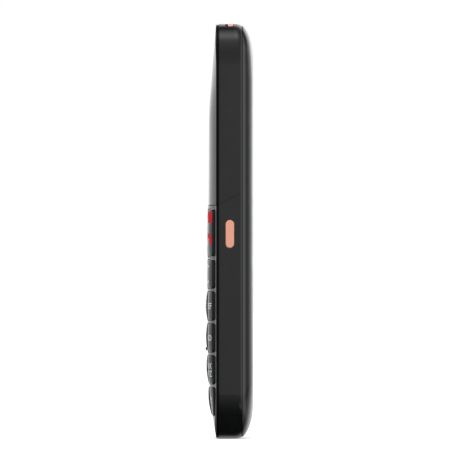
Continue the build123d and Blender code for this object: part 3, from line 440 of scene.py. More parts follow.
def painted_highlight_band(material, depths, heights, tone):
    """A painted highlight: the lacquer's base colour is made paler in a band of depths and of heights above the
    foot, where a rounded edge catches the light; each is given as stops of a place in millimetres and a share."""
    tree = material.node_tree
    base = tree.nodes["Principled BSDF"].inputs["Base Color"]
    split = stations(tree, object_place(tree))
    shares = []
    for axis, stops in (("Y", depths), ("Z", heights)):
        station = maths(tree, "MULTIPLY", split[axis], 1 / MM)
        shares.append(ramp(tree, station, stops, stops[0][0], stops[-1][0]))
    amount = maths(tree, "MULTIPLY", *shares)
    tree.links.new(mixed(tree, amount, base.links[0].from_socket, srgb(tone)), base)


def witness_line_and_seam_shade(material, height, slope):
    """A hair-fine witness line across the sides, a shallow groove where z is height plus slope times y, and
    painted shade along the front edge beside the seam, where the reflection is turned down."""
    tree = material.node_tree
    split = stations(tree, object_place(tree))
    level = maths(tree, "MULTIPLY_ADD", split["Y"], -slope, split["Z"])
    far = maths(tree, "ABSOLUTE", maths(tree, "SUBTRACT", level, height * MM))
    groove = spread(tree, far, 0.04 * MM, 0.16 * MM, 0.24, 0.5)
    # Painted shade: the reflection fades out along the front edge beside the seam
    edge = spread(tree, split["Y"], -3.5 * MM, -2.95 * MM, 0.05, 1.0)
    gloss = tree.nodes["Principled BSDF"].inputs["Specular IOR Level"]
    tree.links.new(maths(tree, "MULTIPLY", groove, edge), gloss)


def link(made):
    """Puts an object in the scene."""
    bpy.context.scene.collection.objects.link(made)
    return made


def place_piece(name, mesh, body, material):
    """Links a mesh that is already in its place and lets it ride on a body."""
    piece = link(bpy.data.objects.new(name, mesh))
    mesh.materials.append(material)
    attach(piece, body)
    return piece


def mesh_of(name, points, quads, triangles=()):
    """Mesh from points in millimetres and arrays of faces. The sum of the signed pyramids under the
    faces is the volume; where it is below zero, the faces turn."""
    triangles = np.asarray(triangles, int).reshape(-1, 3)
    quads = np.asarray(quads, int).reshape(-1, 4)
    parts = np.concatenate([quads[:, [0, 1, 2]], quads[:, [0, 2, 3]], triangles])
    a, b, c = (points[parts[:, i]] for i in range(3))
    if np.einsum("ij,ij->i", a, np.cross(b, c)).sum() < 0:
        quads, triangles = quads[:, ::-1], triangles[:, ::-1]
    mesh = bpy.data.meshes.new(name)
    mesh.vertices.add(len(points))
    mesh.vertices.foreach_set("co", (points * MM).astype(np.float32).ravel())
    corners = np.concatenate([quads.ravel(), triangles.ravel()]).astype(np.int32)
    mesh.loops.add(len(corners))
    mesh.loops.foreach_set("vertex_index", corners)
    starts = np.concatenate([np.arange(len(quads)) * 4, len(quads) * 4 + np.arange(len(triangles)) * 3])
    mesh.polygons.add(len(starts))
    mesh.polygons.foreach_set("loop_start", starts.astype(np.int32))
    mesh.update(calc_edges=True)
    mesh.validate()
    mesh.shade_smooth()
    return mesh


def build(name, shape, material, body="phone"):
    """Piece from its points in millimetres and its faces, riding on a body."""
    return place_piece(name, mesh_of(name, *shape), body, material)


def sharpen(mesh):
    """Keeps the edges sharp where faces meet at more than 35 degrees."""
    mesh.set_sharp_from_angle(angle=math.radians(35))


def thicken(piece, thick):
    """Gives a sheet its thickness, in millimetres."""
    piece.modifiers.new("thickness", "SOLIDIFY").thickness = thick * MM


def carve(piece, *cutters):
    """Takes the cutters' forms out of a piece for good."""
    for cutter in cutters:
        hole = piece.modifiers.new("hole", "BOOLEAN")
        hole.operation = "DIFFERENCE"
        hole.solver = "EXACT"
        hole.object = cutter
    seen = piece.evaluated_get(bpy.context.evaluated_depsgraph_get())
    solid = bpy.data.meshes.new_from_object(seen)
    if len(solid.polygons) <= len(piece.data.polygons):
        raise RuntimeError(f"{piece.name} has no holes")
    piece.modifiers.clear()
    piece.data = solid
    for cutter in cutters:
        bpy.data.objects.remove(cutter)
    solid.shade_smooth()
    sharpen(solid)


def at_depth(flat, y):
    """Points over pairs of x and z, at one depth or at a depth each."""
    return np.column_stack([flat[:, 0], np.broadcast_to(y, len(flat)), flat[:, 1]])


def circle(count):
    """Points round a circle of radius 1."""
    turn = np.linspace(0, 2 * math.pi, count + 1)[:-1]
    return np.stack([np.cos(turn), np.sin(turn)], axis=1)


def ring_shell(rings, start, end):
    """Points and faces of a closed shell: rings of equal count one after another, closed round,
    with a fan to a point at each end."""
    count, around = rings.shape[:2]
    points = np.concatenate([rings.reshape(-1, 3), [start, end]])
    index = np.arange(count * around).reshape(count, around)
    following = np.roll(index, -1, axis=1)
    quads = np.stack([index[:-1], following[:-1], following[1:], index[1:]], axis=-1).reshape(-1, 4)
    first = np.stack([following[0], index[0], np.full(around, count * around)], axis=-1)
    last = np.stack([index[-1], following[-1], np.full(around, count * around + 1)], axis=-1)
    return points, quads, np.concatenate([first, last])


def lofted(centre, rings, tips):
    """Closed shell of rings, each given as pairs of x and z about a centre and a depth, with a tip at a
    depth before the first ring and after the last."""
    solid = np.array([at_depth(centre + flat, y) for flat, y in rings])
    return ring_shell(solid, *([centre[0], y, centre[1]] for y in tips))


def ring_tube(sections):
    """Points and faces of a tube closed both ways: a closed section carried along a closed path."""
    path, around = sections.shape[:2]
    index = np.arange(path * around).reshape(path, around)
    ahead = np.roll(index, -1, axis=0)
    quads = np.stack([index, ahead, np.roll(ahead, -1, axis=1), np.roll(index, -1, axis=1)], axis=-1)
    return sections.reshape(-1, 3), quads.reshape(-1, 4)


def carried(edge, out, section):
    """Tube along an outline, from a closed section of distance outwards and depth."""
    return ring_tube(np.stack([at_depth(edge + out * way, y) for way, y in section], axis=1))


def grid_patch(points):
    """Faces of an open patch whose points stand in rows and columns."""
    rows, columns = points.shape[:2]
    index = np.arange(rows * columns).reshape(rows, columns)
    return np.stack([index[:-1, :-1], index[:-1, 1:], index[1:, 1:], index[1:, :-1]], axis=-1).reshape(-1, 4)


def woven_sheet(name, centre, x, y, z, pitch, rise, thick, material, body="phone"):
    """A woven sheet about a centre: its face rises and falls over its depth y as the product of two sines
    of the threads' pitch."""
    waves = np.sin(2 * math.pi * x / pitch) * np.sin(2 * math.pi * z / pitch)
    points = np.stack([x + centre[0], y + rise * waves, z + centre[1]], axis=-1)
    piece = build(name, (points.reshape(-1, 3), grid_patch(points)), material, body)
    thicken(piece, thick)
    return piece


def rounded_outline(core, radius, count):
    """Points and outward directions round a convex outline. In each direction of a full turn the point is
    the core's farthest corner that way plus the radius that way, so the core's corners come out round.
    The points are spread half by the turn and half by the distance, which gives the corners their share."""
    turn = np.linspace(0, 2 * math.pi, 2881)
    way = np.stack([np.cos(turn), np.sin(turn)], axis=1)
    edge = core[np.argmax(way @ core.T, axis=1)] + radius * way
    step = np.linalg.norm(np.diff(edge, axis=0), axis=1)
    pace = step / step.sum() + 1 / len(step)
    place = np.concatenate([[0], np.cumsum(pace)]) / 2
    wanted = np.arange(count) / count
    points = np.stack([np.interp(wanted, place, edge[:, k]) for k in (0, 1)], axis=1)
    angle = np.interp(wanted, place, turn)
    return points, np.stack([np.cos(angle), np.sin(angle)], axis=1)


def body_core():
    """Corners of the body's outline without its corner radius, as x and z."""
    reach = HALF_WIDTH - CORNER_R
    return np.array([[x, z] for x in (-reach, reach) for z in (CORNER_R, LENGTH - CORNER_R)])


def keypad_profile(z):
    """Front height along the keypad: highest at the peak, curling down to the chin as a power of the
    distance below it, and falling a little in a straight line above it."""
    below = np.maximum(KEYPAD_PEAK_Z - z, 0)
    above = np.maximum(z - KEYPAD_PEAK_Z, 0)
    fall = KEYPAD_TOP_DROP * above / (PARTING_Z - KEYPAD_PEAK_Z)
    return KEYPAD_HEIGHT - CHIN_RATE * below**CHIN_POWER - fall


def key_height(label, flat):
    """Height of a key's top over the seam plane at pairs of x and z. It follows the front's slope at the
    key, stands proud of it, and is barrelled by the square of the distance from its middle; an outer key
    rolls down to its outer wall over the shoulder's run."""
    x, z = flat[..., 0], flat[..., 1]
    column, row = KEYS[label]
    low, high = node_box(label)
    middle = (low[2] + high[2]) / 2
    along = (z - middle) / ((high[2] - low[2]) / 2)
    slope = keypad_profile(middle + 0.5) - keypad_profile(middle - 0.5)
    level = keypad_profile(middle) + slope * (z - middle)
    if column == 0:
        raised = row >= 2
        proud = NUMBER_PROUD + CHIN_EXTRA_PROUD * max(0, row - 3) if raised else FLAT_PROUD
        barrel = NUMBER_BARREL if raised else FLAT_BARREL
        across = x / ((high[0] - low[0]) / 2)
        return level + proud - barrel * along**2 - CENTRE_CROSS * across**2
    crest = level + SIDE_KEY_CROWN - SIDE_KEY_BARREL * along**2 - SIDE_ROW_DROPS[row]
    wall = SIDE_WALL_HEIGHT * level / KEYPAD_HEIGHT
    run = np.minimum(1, (HALF_WIDTH - KEY_EDGE - np.abs(x)) / SHOULDER_RUN)
    return wall + (crest - wall) * (1 - (1 - run) ** 2)


def cap_height(label, flat, roll):
    """Height of a keycap with its rolled edge: within the roll's radius of the nearest side, the top
    falls as a quarter circle."""
    low, high = (corner[[0, 2]] for corner in node_box(label))
    side = np.minimum(flat - low, high - flat).min(axis=1)
    short = roll - np.clip(side, 0, roll)
    return key_height(label, flat) - roll + np.sqrt(roll**2 - short**2)


def key_core(label, corner):
    """Corners of a key's outline less its corner radius. Where it would leave the body's outline at the
    foot, its points are drawn in to the body's corner circle."""
    low, high = node_box(label)
    rim = np.linspace(0, 1, 60)
    x = np.concatenate([low[0] + corner + rim * (high[0] - low[0] - 2 * corner)] * 2)
    z = np.repeat([low[2] + corner, high[2] - corner], len(rim))
    side_x = np.repeat([low[0] + corner, high[0] - corner], len(rim))
    side_z = np.tile(low[2] + corner + rim * (high[2] - low[2] - 2 * corner), 2)
    x, z = np.concatenate([x, side_x]), np.concatenate([z, side_z])
    reach = HALF_WIDTH - CORNER_R
    out_x, out_z = np.maximum(np.abs(x) - reach, 0), np.minimum(z - CORNER_R, 0)
    far = np.hypot(out_x, out_z)
    room = CORNER_R - KEY_EDGE - corner
    share = np.where((out_x > 0) & (out_z < 0) & (far > room), room / np.maximum(far, 1e-9), 1)
    x = np.where(share < 1, np.sign(x) * (reach + out_x * share), x)
    z = np.where(share < 1, CORNER_R + out_z * share, z)
    return np.stack([x, z], axis=1)


def keycap(label, roll, material):
    """One keycap, which stands for its node. Rings run up the straight wall, round a quarter circle of the
    roll's radius, which is less where the wall is low, and then shrink evenly to the middle on the crown."""
    corner = NAV_CORNER_R if KEYS[label][1] == 0 else KEY_CORNER_R
    edge, out = rounded_outline(key_core(label, corner), corner, KEY_POINTS)
    middle = node_middle(label)[[0, 2]]
    wall = key_height(label, edge) - (SEAM_Y - KEY_BASE_Y)
    radius = np.minimum(roll, ROLL_WALL_SHARE * wall)
    rings = [at_depth(edge, KEY_BASE_Y)]
    for turn in np.linspace(0, math.pi / 2, ROLL_RINGS):
        flat = edge - out * (radius * (1 - math.cos(turn)))[:, None]
        height = key_height(label, flat) - radius * (1 - math.sin(turn))
        rings.append(at_depth(flat, SEAM_Y - height))
    for share in np.linspace(0, 1, CROWN_RINGS)[1:-1]:
        inner = flat + (middle - flat) * share
        rings.append(at_depth(inner, SEAM_Y - key_height(label, inner)))
    bottom = [middle[0], KEY_BASE_Y, middle[1]]
    top = [middle[0], SEAM_Y - key_height(label, middle), middle[1]]
    piece = build(f"{label}_cap", ring_shell(np.array(rings), bottom, top), material, label)
    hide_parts(label)


def word_patch(words, tall):
    """Flat points and faces of a word in the built-in typeface, scaled to a height and set with its
    lower left corner at zero, cut into cells so that it can follow a crown."""
    curve = bpy.data.curves.new("word", "FONT")
    curve.body = words
    holder = link(bpy.data.objects.new("word", curve))
    bpy.context.view_layer.update()
    flat = bpy.data.meshes.new_from_object(holder)
    bpy.data.objects.remove(holder)
    cutter = bmesh.new()
    cutter.from_mesh(flat)
    spots = np.array([vertex.co[:2] for vertex in cutter.verts])
    low, high = spots.min(0), spots.max(0)
    scale = tall / (high[1] - low[1])
    for axis in (0, 1):
        for cut in np.arange(low[axis] + CELL / scale, high[axis], CELL / scale):
            spot, normal = [0, 0, 0], [0, 0, 0]
            spot[axis], normal[axis] = cut, 1
            everything = cutter.verts[:] + cutter.edges[:] + cutter.faces[:]
            bmesh.ops.bisect_plane(cutter, geom=everything, plane_co=spot, plane_no=normal)
    cutter.verts.index_update()
    spots = np.array([vertex.co[:2] for vertex in cutter.verts])
    faces = [[vertex.index for vertex in face.verts] for face in cutter.faces]
    cutter.free()
    return (spots - low) * scale, faces


def ribbon_patch(line, half_width, across=5):
    """Flat points and faces of a band along a line: each point of the line is moved both ways along the
    line's normal by the half width there."""
    ahead = np.gradient(line, axis=0)
    ahead /= np.linalg.norm(ahead, axis=1)[:, None]
    normal = np.stack([-ahead[:, 1], ahead[:, 0]], axis=1)
    reach = np.broadcast_to(half_width, len(line))[:, None] * np.linspace(1, -1, across)
    points = line[:, None, :] + normal[:, None, :] * reach[:, :, None]
    return points.reshape(-1, 2), grid_patch(points)[:, ::-1].tolist()


def bar_patch(x_low, x_high, z_low, z_high):
    """A plain bar as a grid of cells."""
    x = np.linspace(x_low, x_high, 2 + int((x_high - x_low) / CELL))
    z = np.linspace(z_low, z_high, 2 + int((z_high - z_low) / CELL))
    points = np.stack(np.meshgrid(x, z), axis=-1)
    return points.reshape(-1, 2), grid_patch(points).tolist()


def arc_patch(centre, radius, start, stop, count, stroke):
    """A band along a circle's arc between two angles in degrees."""
    angle = np.radians(np.linspace(start, stop, count))
    line = np.stack([centre[0] + radius * np.cos(angle), centre[1] + radius * np.sin(angle)], axis=1)
    return ribbon_patch(line, stroke / 2)


def handset_patch(centre, tilt):
    """A handset seen as a squarish arch, radius = reach / (cos⁴ + sin⁴)^¼: even along the grip and swelling
    at both ends as the sixth power of the distance from the middle, with its ends rounded off."""
    way = np.radians(np.linspace(180, 0, 60))
    reach = HANDSET_REACH / (np.cos(way) ** 4 + np.sin(way) ** 4) ** 0.25
    way += math.radians(tilt)
    line = np.stack([centre[0] + reach * np.cos(way), centre[1] + reach * np.sin(way)], axis=1)
    share = np.linspace(-1, 1, len(line))
    half = (HANDSET_GRIP + HANDSET_SWELL * share**6) * np.sqrt(1 - np.abs(share) ** 24 * 0.9)
    return ribbon_patch(line, half, 9)


def print_on_key(label, patches, sizes, material):
    """Prints flat patches on a key: each point is lifted to the keycap's top, and the film gets its
    thickness inwards."""
    film = sizes.film / MM
    faces, start = [], 0
    for spots, cells in patches:
        faces += [[start + corner for corner in cell] for cell in cells]
        start += len(spots)
    flat = np.concatenate([spots for spots, cells in patches])
    height = cap_height(label, flat, sizes.edge_roll / MM) + 0.4 * film
    mesh = bpy.data.meshes.new(f"{label}_legend")
    mesh.from_pydata((at_depth(flat, SEAM_Y - height) * MM).tolist(), [], faces)
    mesh.update()
    thicken(place_piece(f"{label}_legend", mesh, label, material), film)


class PHONE_OT_frame_finish(bpy.types.Operator):
    """Finishes the side frame and the front fascias"""

    bl_idname = "phone.frame_finish"
    bl_label = "Body finishes"

    def execute(self, context):
        colours = context.scene.phone_colours
        # Moulded ABS under a satin two-pack lacquer: soft-edged reflections and a faint orange peel
        coat = finish("Satin lacquered ABS, frame", colours.frame, 0.17, 1.4, 0.0009, IOR=1.45)
        # Painted highlight: a paler band along the frame's rear edge, fading out towards the foot
        painted_highlight_band(coat, [(3.5, 0), (3.7, 1), (3.9, 1)], [(8, 0), (14, 1)], "#4A4B4E")
        witness_line_and_seam_shade(coat, SCORE_HEIGHT, SCORE_SLOPE)
        dress(coat, "mid_frame")
        # Hard-coated moulded polycarbonate: a little glossier than the frame
        display = finish("Hard-coated polycarbonate", colours.fascia, 0.15, 1.8, 0.0008, IOR=1.5)
        dress(display, "display_fascia")
        # The same coat on the keypad's fascia, as a second copy with a painted highlight: a paler band along its
        # rim
        keypad = finish("Hard-coated polycarbonate, keypad, painted rim highlight", colours.fascia, 0.15, 1.8, 0.0008, IOR=1.5)
        painted_highlight_band(keypad, [(-4.65, 0), (-4.55, 1), (-4.1, 1)], [(0, 0), (1, 1)], "#545559")
        dress(keypad, "front_cover")
        return {"FINISHED"}


class PHONE_OT_cover(bpy.types.Operator):
    """Builds the battery cover with its lip, tongues, camera and torch holes and speaker slots"""

    bl_idname = "phone.cover"
    bl_label = "Battery cover"

    def execute(self, context):
        # The frame's lacquer over moulded ABS, with a painted highlight: a band a little paler along the rim
        # between the ends
        frame_colour = context.scene.phone_colours.frame
        coat = finish("Satin lacquered ABS, cover, painted rim highlight", frame_colour, 0.17, 1.4, 0.0009, IOR=1.45)
        heights = [(3, 0), (9, 1), (LENGTH - 7.5, 1), (LENGTH - 4.5, 0)]
        painted_highlight_band(coat, [(4.1, 1), (4.7, 0.85), (5.3, 0)], heights, "#4A4B4E")
        inside = [self.outline(share, COVER_WALL) for share in np.linspace(1, 0, 15)]
        outside = [self.outline(share, 0) for share in 1 - np.linspace(1, 0, 49) ** 2]
        middle = np.array([0, 0, LENGTH / 2])
        shares = np.linspace(0, 1, 12)[1:-1, None, None]
        inner_flat = inside[0] + (middle - inside[0] * [1, 0, 1]) * shares[::-1]
        outer_flat = outside[-1] + (middle - outside[-1] * [1, 0, 1]) * shares
        rings = np.concatenate([inner_flat, inside, outside, outer_flat])
        ends = [[0, y, LENGTH / 2] for y in (BACK_Y - COVER_WALL, BACK_Y)]
        shell = build("cover_shell", ring_shell(rings, *ends), coat, "cover")
        slot, _ = rounded_outline(np.array([[-SLOT_HALF_LENGTH, 0], [SLOT_HALF_LENGTH, 0]]), SLOT_RADIUS, 64)
        slots = [SPEAKER + [0, SLOT_PITCH * (i - (SLOT_COUNT - 1) / 2)] for i in range(SLOT_COUNT)]
        carve(
            shell,
            self.cutter("window_seat", WINDOW_SEAT_R * circle(TURNED_POINTS), CAMERA, WINDOW_SEAT_DEPTH),
            self.cutter("camera_hole", CAMERA_HOLE_R * circle(TURNED_POINTS), CAMERA),
            self.cutter("torch_hole", TORCH_HOLE_R * circle(TURNED_POINTS), TORCH),
            *(self.cutter(f"slot_{i}", slot, centre) for i, centre in enumerate(slots)),
        )
        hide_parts("battery_cover")
        self.seating_lip(coat)
        return {"FINISHED"}

    def cutter(self, name, flat, centre, depth=2.0):
        """A straight form from a depth in the cover's back out to 1 mm behind it, for carving."""
        shape = lofted(centre, [(flat, y) for y in (BACK_Y - depth, BACK_Y + 1)], (BACK_Y - depth, BACK_Y + 1))
        return link(bpy.data.objects.new(name, mesh_of(name, *shape)))

    def outline(self, share, wall):
        """A ring of the shell at a share of its depth. The sides draw in by their roll times one less the
        cube root of one less the share cubed; the ends are fuller and draw in steeply at first."""
        side = (COVER_SIDE_ROLL - wall) * (1 - (1 - share**3) ** (1 / 3))
        end = (COVER_END_ROLL - wall) * (1 - (1 - share**COVER_END_START) ** COVER_END_POWER)
        corner = CORNER_R - COVER_INSET - wall - COVER_CORNER_SHARE * side
        x = HALF_WIDTH - COVER_INSET - wall - side - corner
        z_low = COVER_INSET + wall + end + corner
        core = np.array([[i, z] for i in (-x, x) for z in (z_low, LENGTH - z_low)])
        edge, way = rounded_outline(core, corner, 360)
        # The top's corners stand out more than a plain arc would, down to nothing at the flat back
        fuller = COVER_TOP_FULLNESS * end * (1 - share**4) * (np.clip(way[:, 1], 0, 1) * way[:, 0]) ** 2
        return at_depth(edge + way * fuller[:, None], COVER_RIM_Y + share * (COVER_DEPTH - wall))

    def seating_lip(self, material):
        """The lip that seats in the frame, a rectangle carried round the outline, and six tongues."""
        edge, out = rounded_outline(body_core(), CORNER_R - LIP_INSET, 240)
        near, far = COVER_RIM_Y + LIP_ROOT, COVER_RIM_Y - LIP_REACH
        section = [(0, near), (0, far), (-LIP_THICKNESS, far), (-LIP_THICKNESS, near)]
        sharpen(build("cover_lip", carried(edge, out, section), material, "cover").data)
        box = np.array([[-1, -1], [1, -1], [1, 1], [-1, 1]]) * TONGUE_HALF
        depths = (COVER_LOW[1], COVER_RIM_Y)
        x = HALF_WIDTH - TONGUE_INSET
        centres = [np.array([side * x, z]) for side in (-1, 1) for z in TONGUE_STATIONS]
        for number, centre in enumerate(centres, 1):
            shape = lofted(centre, [(box, y) for y in depths], depths)
            sharpen(build(f"cover_tongue_{number}", shape, material, "cover").data)


class PHONE_OT_keycaps(bpy.types.Operator):
    """Builds the eighteen keycaps and the raised dot on the 5"""

    bl_idname = "phone.keycaps"
    bl_label = "Keycaps"

    def execute(self, context):
        sizes, colours = context.scene.phone_sizes, context.scene.phone_colours
        # Moulded polycarbonate with a hard satin coat: fine spark-eroded grain under the coat
        cap = finish(
            "Satin-coated polycarbonate keycap", colours.keycap, 0.19, 0.25, 0.0006, IOR=1.5,
            Specular_IOR_Level=0.22,
        )
        for label in KEYS:
            keycap(label, sizes.edge_roll / MM, cap)
        # The dot on the 5 is left matt, so that a fingertip finds it
        dot = finish("Matt black polycarbonate", "#050505", 0.6, 0.15, 0.0006, Specular_IOR_Level=0.15)
        self.raise_nub(sizes.nub_width / MM / 2, dot)
        return {"FINISHED"}

    def raise_nub(self, radius, material):
        """A dot of revolution: a short wall that rounds over to its pole as a quarter ellipse."""
        foot = np.array([0, node_middle("key_5")[2] - NUB_DROP])
        top = SEAM_Y - key_height("key_5", foot)
        rings = [(radius * out * circle(32), top - up) for out, up in NUB_PROFILE]
        build("key_5_nub", lofted(foot, rings, (top + 0.3, top - 0.381)), material, "key_5")


class PHONE_OT_legends(bpy.types.Operator):
    """Prints the digits, letters and plain symbols on the keys"""

    bl_idname = "phone.legends"
    bl_label = "Key legends"

    def execute(self, context):
        sizes, colours = context.scene.phone_sizes, context.scene.phone_colours
        # Screen-printed ink under a clear coat: flat colour with a slight edge gloss
        white = finish("White screen-print ink", colours.legend, 0.35, 0.2, 0.0005, drift=0.04)
        # The call keys' inks lie on top of the coat: matt and strong
        matt = {"drift": 0.06, "Specular_IOR_Level": 0.08}
        red = finish("Red screen-print ink", colours.end_red, 0.6, 0.2, 0.0005, **matt)
        green = finish("Green screen-print ink", colours.call_green, 0.6, 0.2, 0.0005, **matt)
        stroke = sizes.icon_stroke / MM
        for label, (digit, letters) in DIGITS.items():
            patches = self.digit_patches(label, digit, letters, sizes)
            if label == "key_hash":
                patches += self.shift_patches(0.8 * stroke)
            print_on_key(label, patches, sizes, white)
        low, high = node_box("right_key")
        bar = bar_patch(high[0] - BAR_LENGTH, high[0] - BAR_EDGE, *(high[2] - BAR_SPAN))
        handset = handset_patch((high[0] - END_HANDSET[0], low[2] + END_HANDSET[1]), 0)
        print_on_key("right_key", [bar, handset], sizes, red)
        low, high = node_box("left_key")
        bar = bar_patch(low[0] + BAR_EDGE, low[0] + BAR_LENGTH, *(high[2] - BAR_SPAN))
        place = (low[0] + CALL_HANDSET[0], low[2] + CALL_HANDSET[1])
        handset = handset_patch(place, CALL_HANDSET_TILT)
        print_on_key("left_key", [bar, handset], sizes, green)
        print_on_key("nav_rocker", self.arrow_patches(stroke), sizes, white)
        print_on_key("quick_key_left", self.menu_patches(stroke), sizes, white)
        print_on_key("quick_key_middle", self.tile_patches(), sizes, white)
        print_on_key("quick_key_right", self.clear_patches(stroke), sizes, white)
        return {"FINISHED"}

    def digit_patches(self, label, digit, letters, sizes):
        """The digit left of the key's middle and its letters at the right-hand edge, one line or two."""
        low, high = node_box(label)
        middle = (low + high) / 2
        tall = sizes.digit_height / MM * DIGIT_SCALE.get(digit, 1)
        spots, faces = word_patch(digit, tall)
        wide = spots[:, 0].max()
        patches = [(spots + [middle[0] - DIGIT_SHIFT - wide / 2, middle[2] - tall / 2], faces)]
        height = sizes.letter_height / MM
        for line, words in enumerate(letters):
            small = height * (PLUS_SCALE if words == "+" else 1)
            spots, faces = word_patch(words, small)
            shift = ((len(letters) - 1) / 2 - line) * height * LETTER_LINE_PITCH
            right = high[0] - sizes.legend_margin / MM - spots[:, 0].max()
            patches.append((spots + [right, middle[2] + shift - small / 2], faces))
        return patches

    def shift_patches(self, stroke):
        """A small arrow that points up, at the right of the hash key."""
        tip = np.array([node_box("key_hash")[1][0] - 2.5, node_middle("key_hash")[2] + 1.5])
        share = np.linspace(-1, 1, 15)
        head = tip + 0.8 * np.stack([share, -np.abs(share)], axis=1)
        stem = bar_patch(tip[0] - stroke / 2, tip[0] + stroke / 2, tip[1] - 2.1, tip[1] - 0.5)
        return [ribbon_patch(head, stroke / 2), stem]

    def arrow_patches(self, stroke):
        """Chevrons that point up and down and a ring between them."""
        middle = node_middle("nav_rocker")[2]
        share = np.linspace(-1, 1, 21)
        patches = []
        for way in (1, -1):
            line = np.stack([1.7 * share * way, middle + way * (5.6 - 1.0 * np.abs(share))], axis=1)
            patches.append(ribbon_patch(line, stroke / 2))
        return [*patches, arc_patch((0, middle), 1.9, 90, -270, 64, stroke)]

    def menu_patches(self, stroke):
        """Three short lines one above another."""
        x, _, middle = node_middle("quick_key_left")
        heights = (middle - 1.2, middle, middle + 1.2)
        return [bar_patch(x - 1.7, x + 1.7, z - stroke / 2, z + stroke / 2) for z in heights]

    def tile_patches(self):
        """Four small squares, two by two."""
        middle, _, height = node_middle("quick_key_middle")
        spots = [(middle + x, height + z) for x in (-0.85, 0.85) for z in (-0.85, 0.85)]
        return [bar_patch(x - 0.6, x + 0.6, z - 0.6, z + 0.6) for x, z in spots]

    def clear_patches(self, stroke):
        """An open ring, the usual sign for clear, whose ends point to the right."""
        centre = (node_box("quick_key_right")[1][0] - 4.4, node_middle("quick_key_right")[2])
        return [arc_patch(centre, 2.75, 52, 308, 50, stroke)]


class PHONE_OT_display(bpy.types.Operator):
    """Finishes the display lens and what lies under it, and weaves the earpiece mesh"""

    bl_idname = "phone.display"
    bl_label = "Display and earpiece"

    def execute(self, context):
        # Moulded acrylic window, hard-coated, printed black round the dark resting display behind it
        lens = finish("Printed acrylic window", "#050506", 0.035, 6.0, 0.0006, handling=0.02, IOR=1.49)
        tree = lens.node_tree
        split = stations(tree, object_place(tree))
        middle = dict(zip("XYZ", (node_middle("display_lens") * MM).tolist()))
        inside = []
        for axis, half in DISPLAY_HALF.items():
            away = maths(tree, "ABSOLUTE", maths(tree, "SUBTRACT", split[axis], middle[axis]))
            inside.append(maths(tree, "LESS_THAN", away, half * MM))
        face = mixed(tree, maths(tree, "MULTIPLY", *inside), srgb("#050506"), srgb("#1B1E20"))
        tree.links.new(face, tree.nodes["Principled BSDF"].inputs["Base Color"])
        dress(lens, "display_lens")
        # Display glass with a polariser: almost black, faintly blue
        dress(finish("Polarised display glass", "#101418", 0.12, 0.5, 0.0002, IOR=1.52), "lcd_module")
        # Woven stainless wire, blackened: dull metal that breaks up the light
        wire = finish("Blackened stainless weave", "#55565A", 0.38, 0.05, 0.001, Metallic=1.0)
        self.weave(context.scene.phone_sizes.weave_pitch / MM, wire)
        # Housings of the earpiece and the microphone: dull and even
        dress(finish("Moulded black nylon", "#141414", 0.5, 0.12, 0.002), "earpiece_receiver", "microphone")
        return {"FINISHED"}

    def weave(self, pitch, material):
        """A woven sheet in the earpiece slot, leaning with the front. Its outline is a slot, x running out
        by the circle at the ends."""
        low, high = node_box("earpiece_mesh")
        radius = (high[2] - low[2]) / 2
        u, v = np.meshgrid(np.linspace(-1, 1, 321), np.linspace(-0.995, 0.995, 41))
        z = v * radius
        x = u * ((high[0] - low[0]) / 2 - radius + np.sqrt(radius**2 - z**2))
        slope = (high[1] - low[1] - MESH_DEPTH) / (high[2] - low[2])
        y = low[1] + WEAVE_SINK + slope * (z + radius)
        centre = (0, (low[2] + high[2]) / 2)
        piece = woven_sheet("earpiece_weave", centre, x, y, z, pitch, -WEAVE_RISE, WEAVE_THICK, material)
        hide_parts("earpiece_mesh")


class PHONE_OT_metal_buttons(bpy.types.Operator):
    """Finishes the copper side and top buttons and the volume rocker"""

    bl_idname = "phone.metal_buttons"
    bl_label = "Metal buttons"

    def execute(self, context):
        tone = context.scene.phone_colours.copper
        # Anodised aluminium in a copper tone, bead-blasted: soft even glow with a very fine grain
        copper = finish("Copper anodised aluminium", tone, 0.42, 0.08, 0.0008, drift=0.03, Metallic=0.35)
        dress(copper, "side_button", "top_button", "volume_rocker")
        return {"FINISHED"}


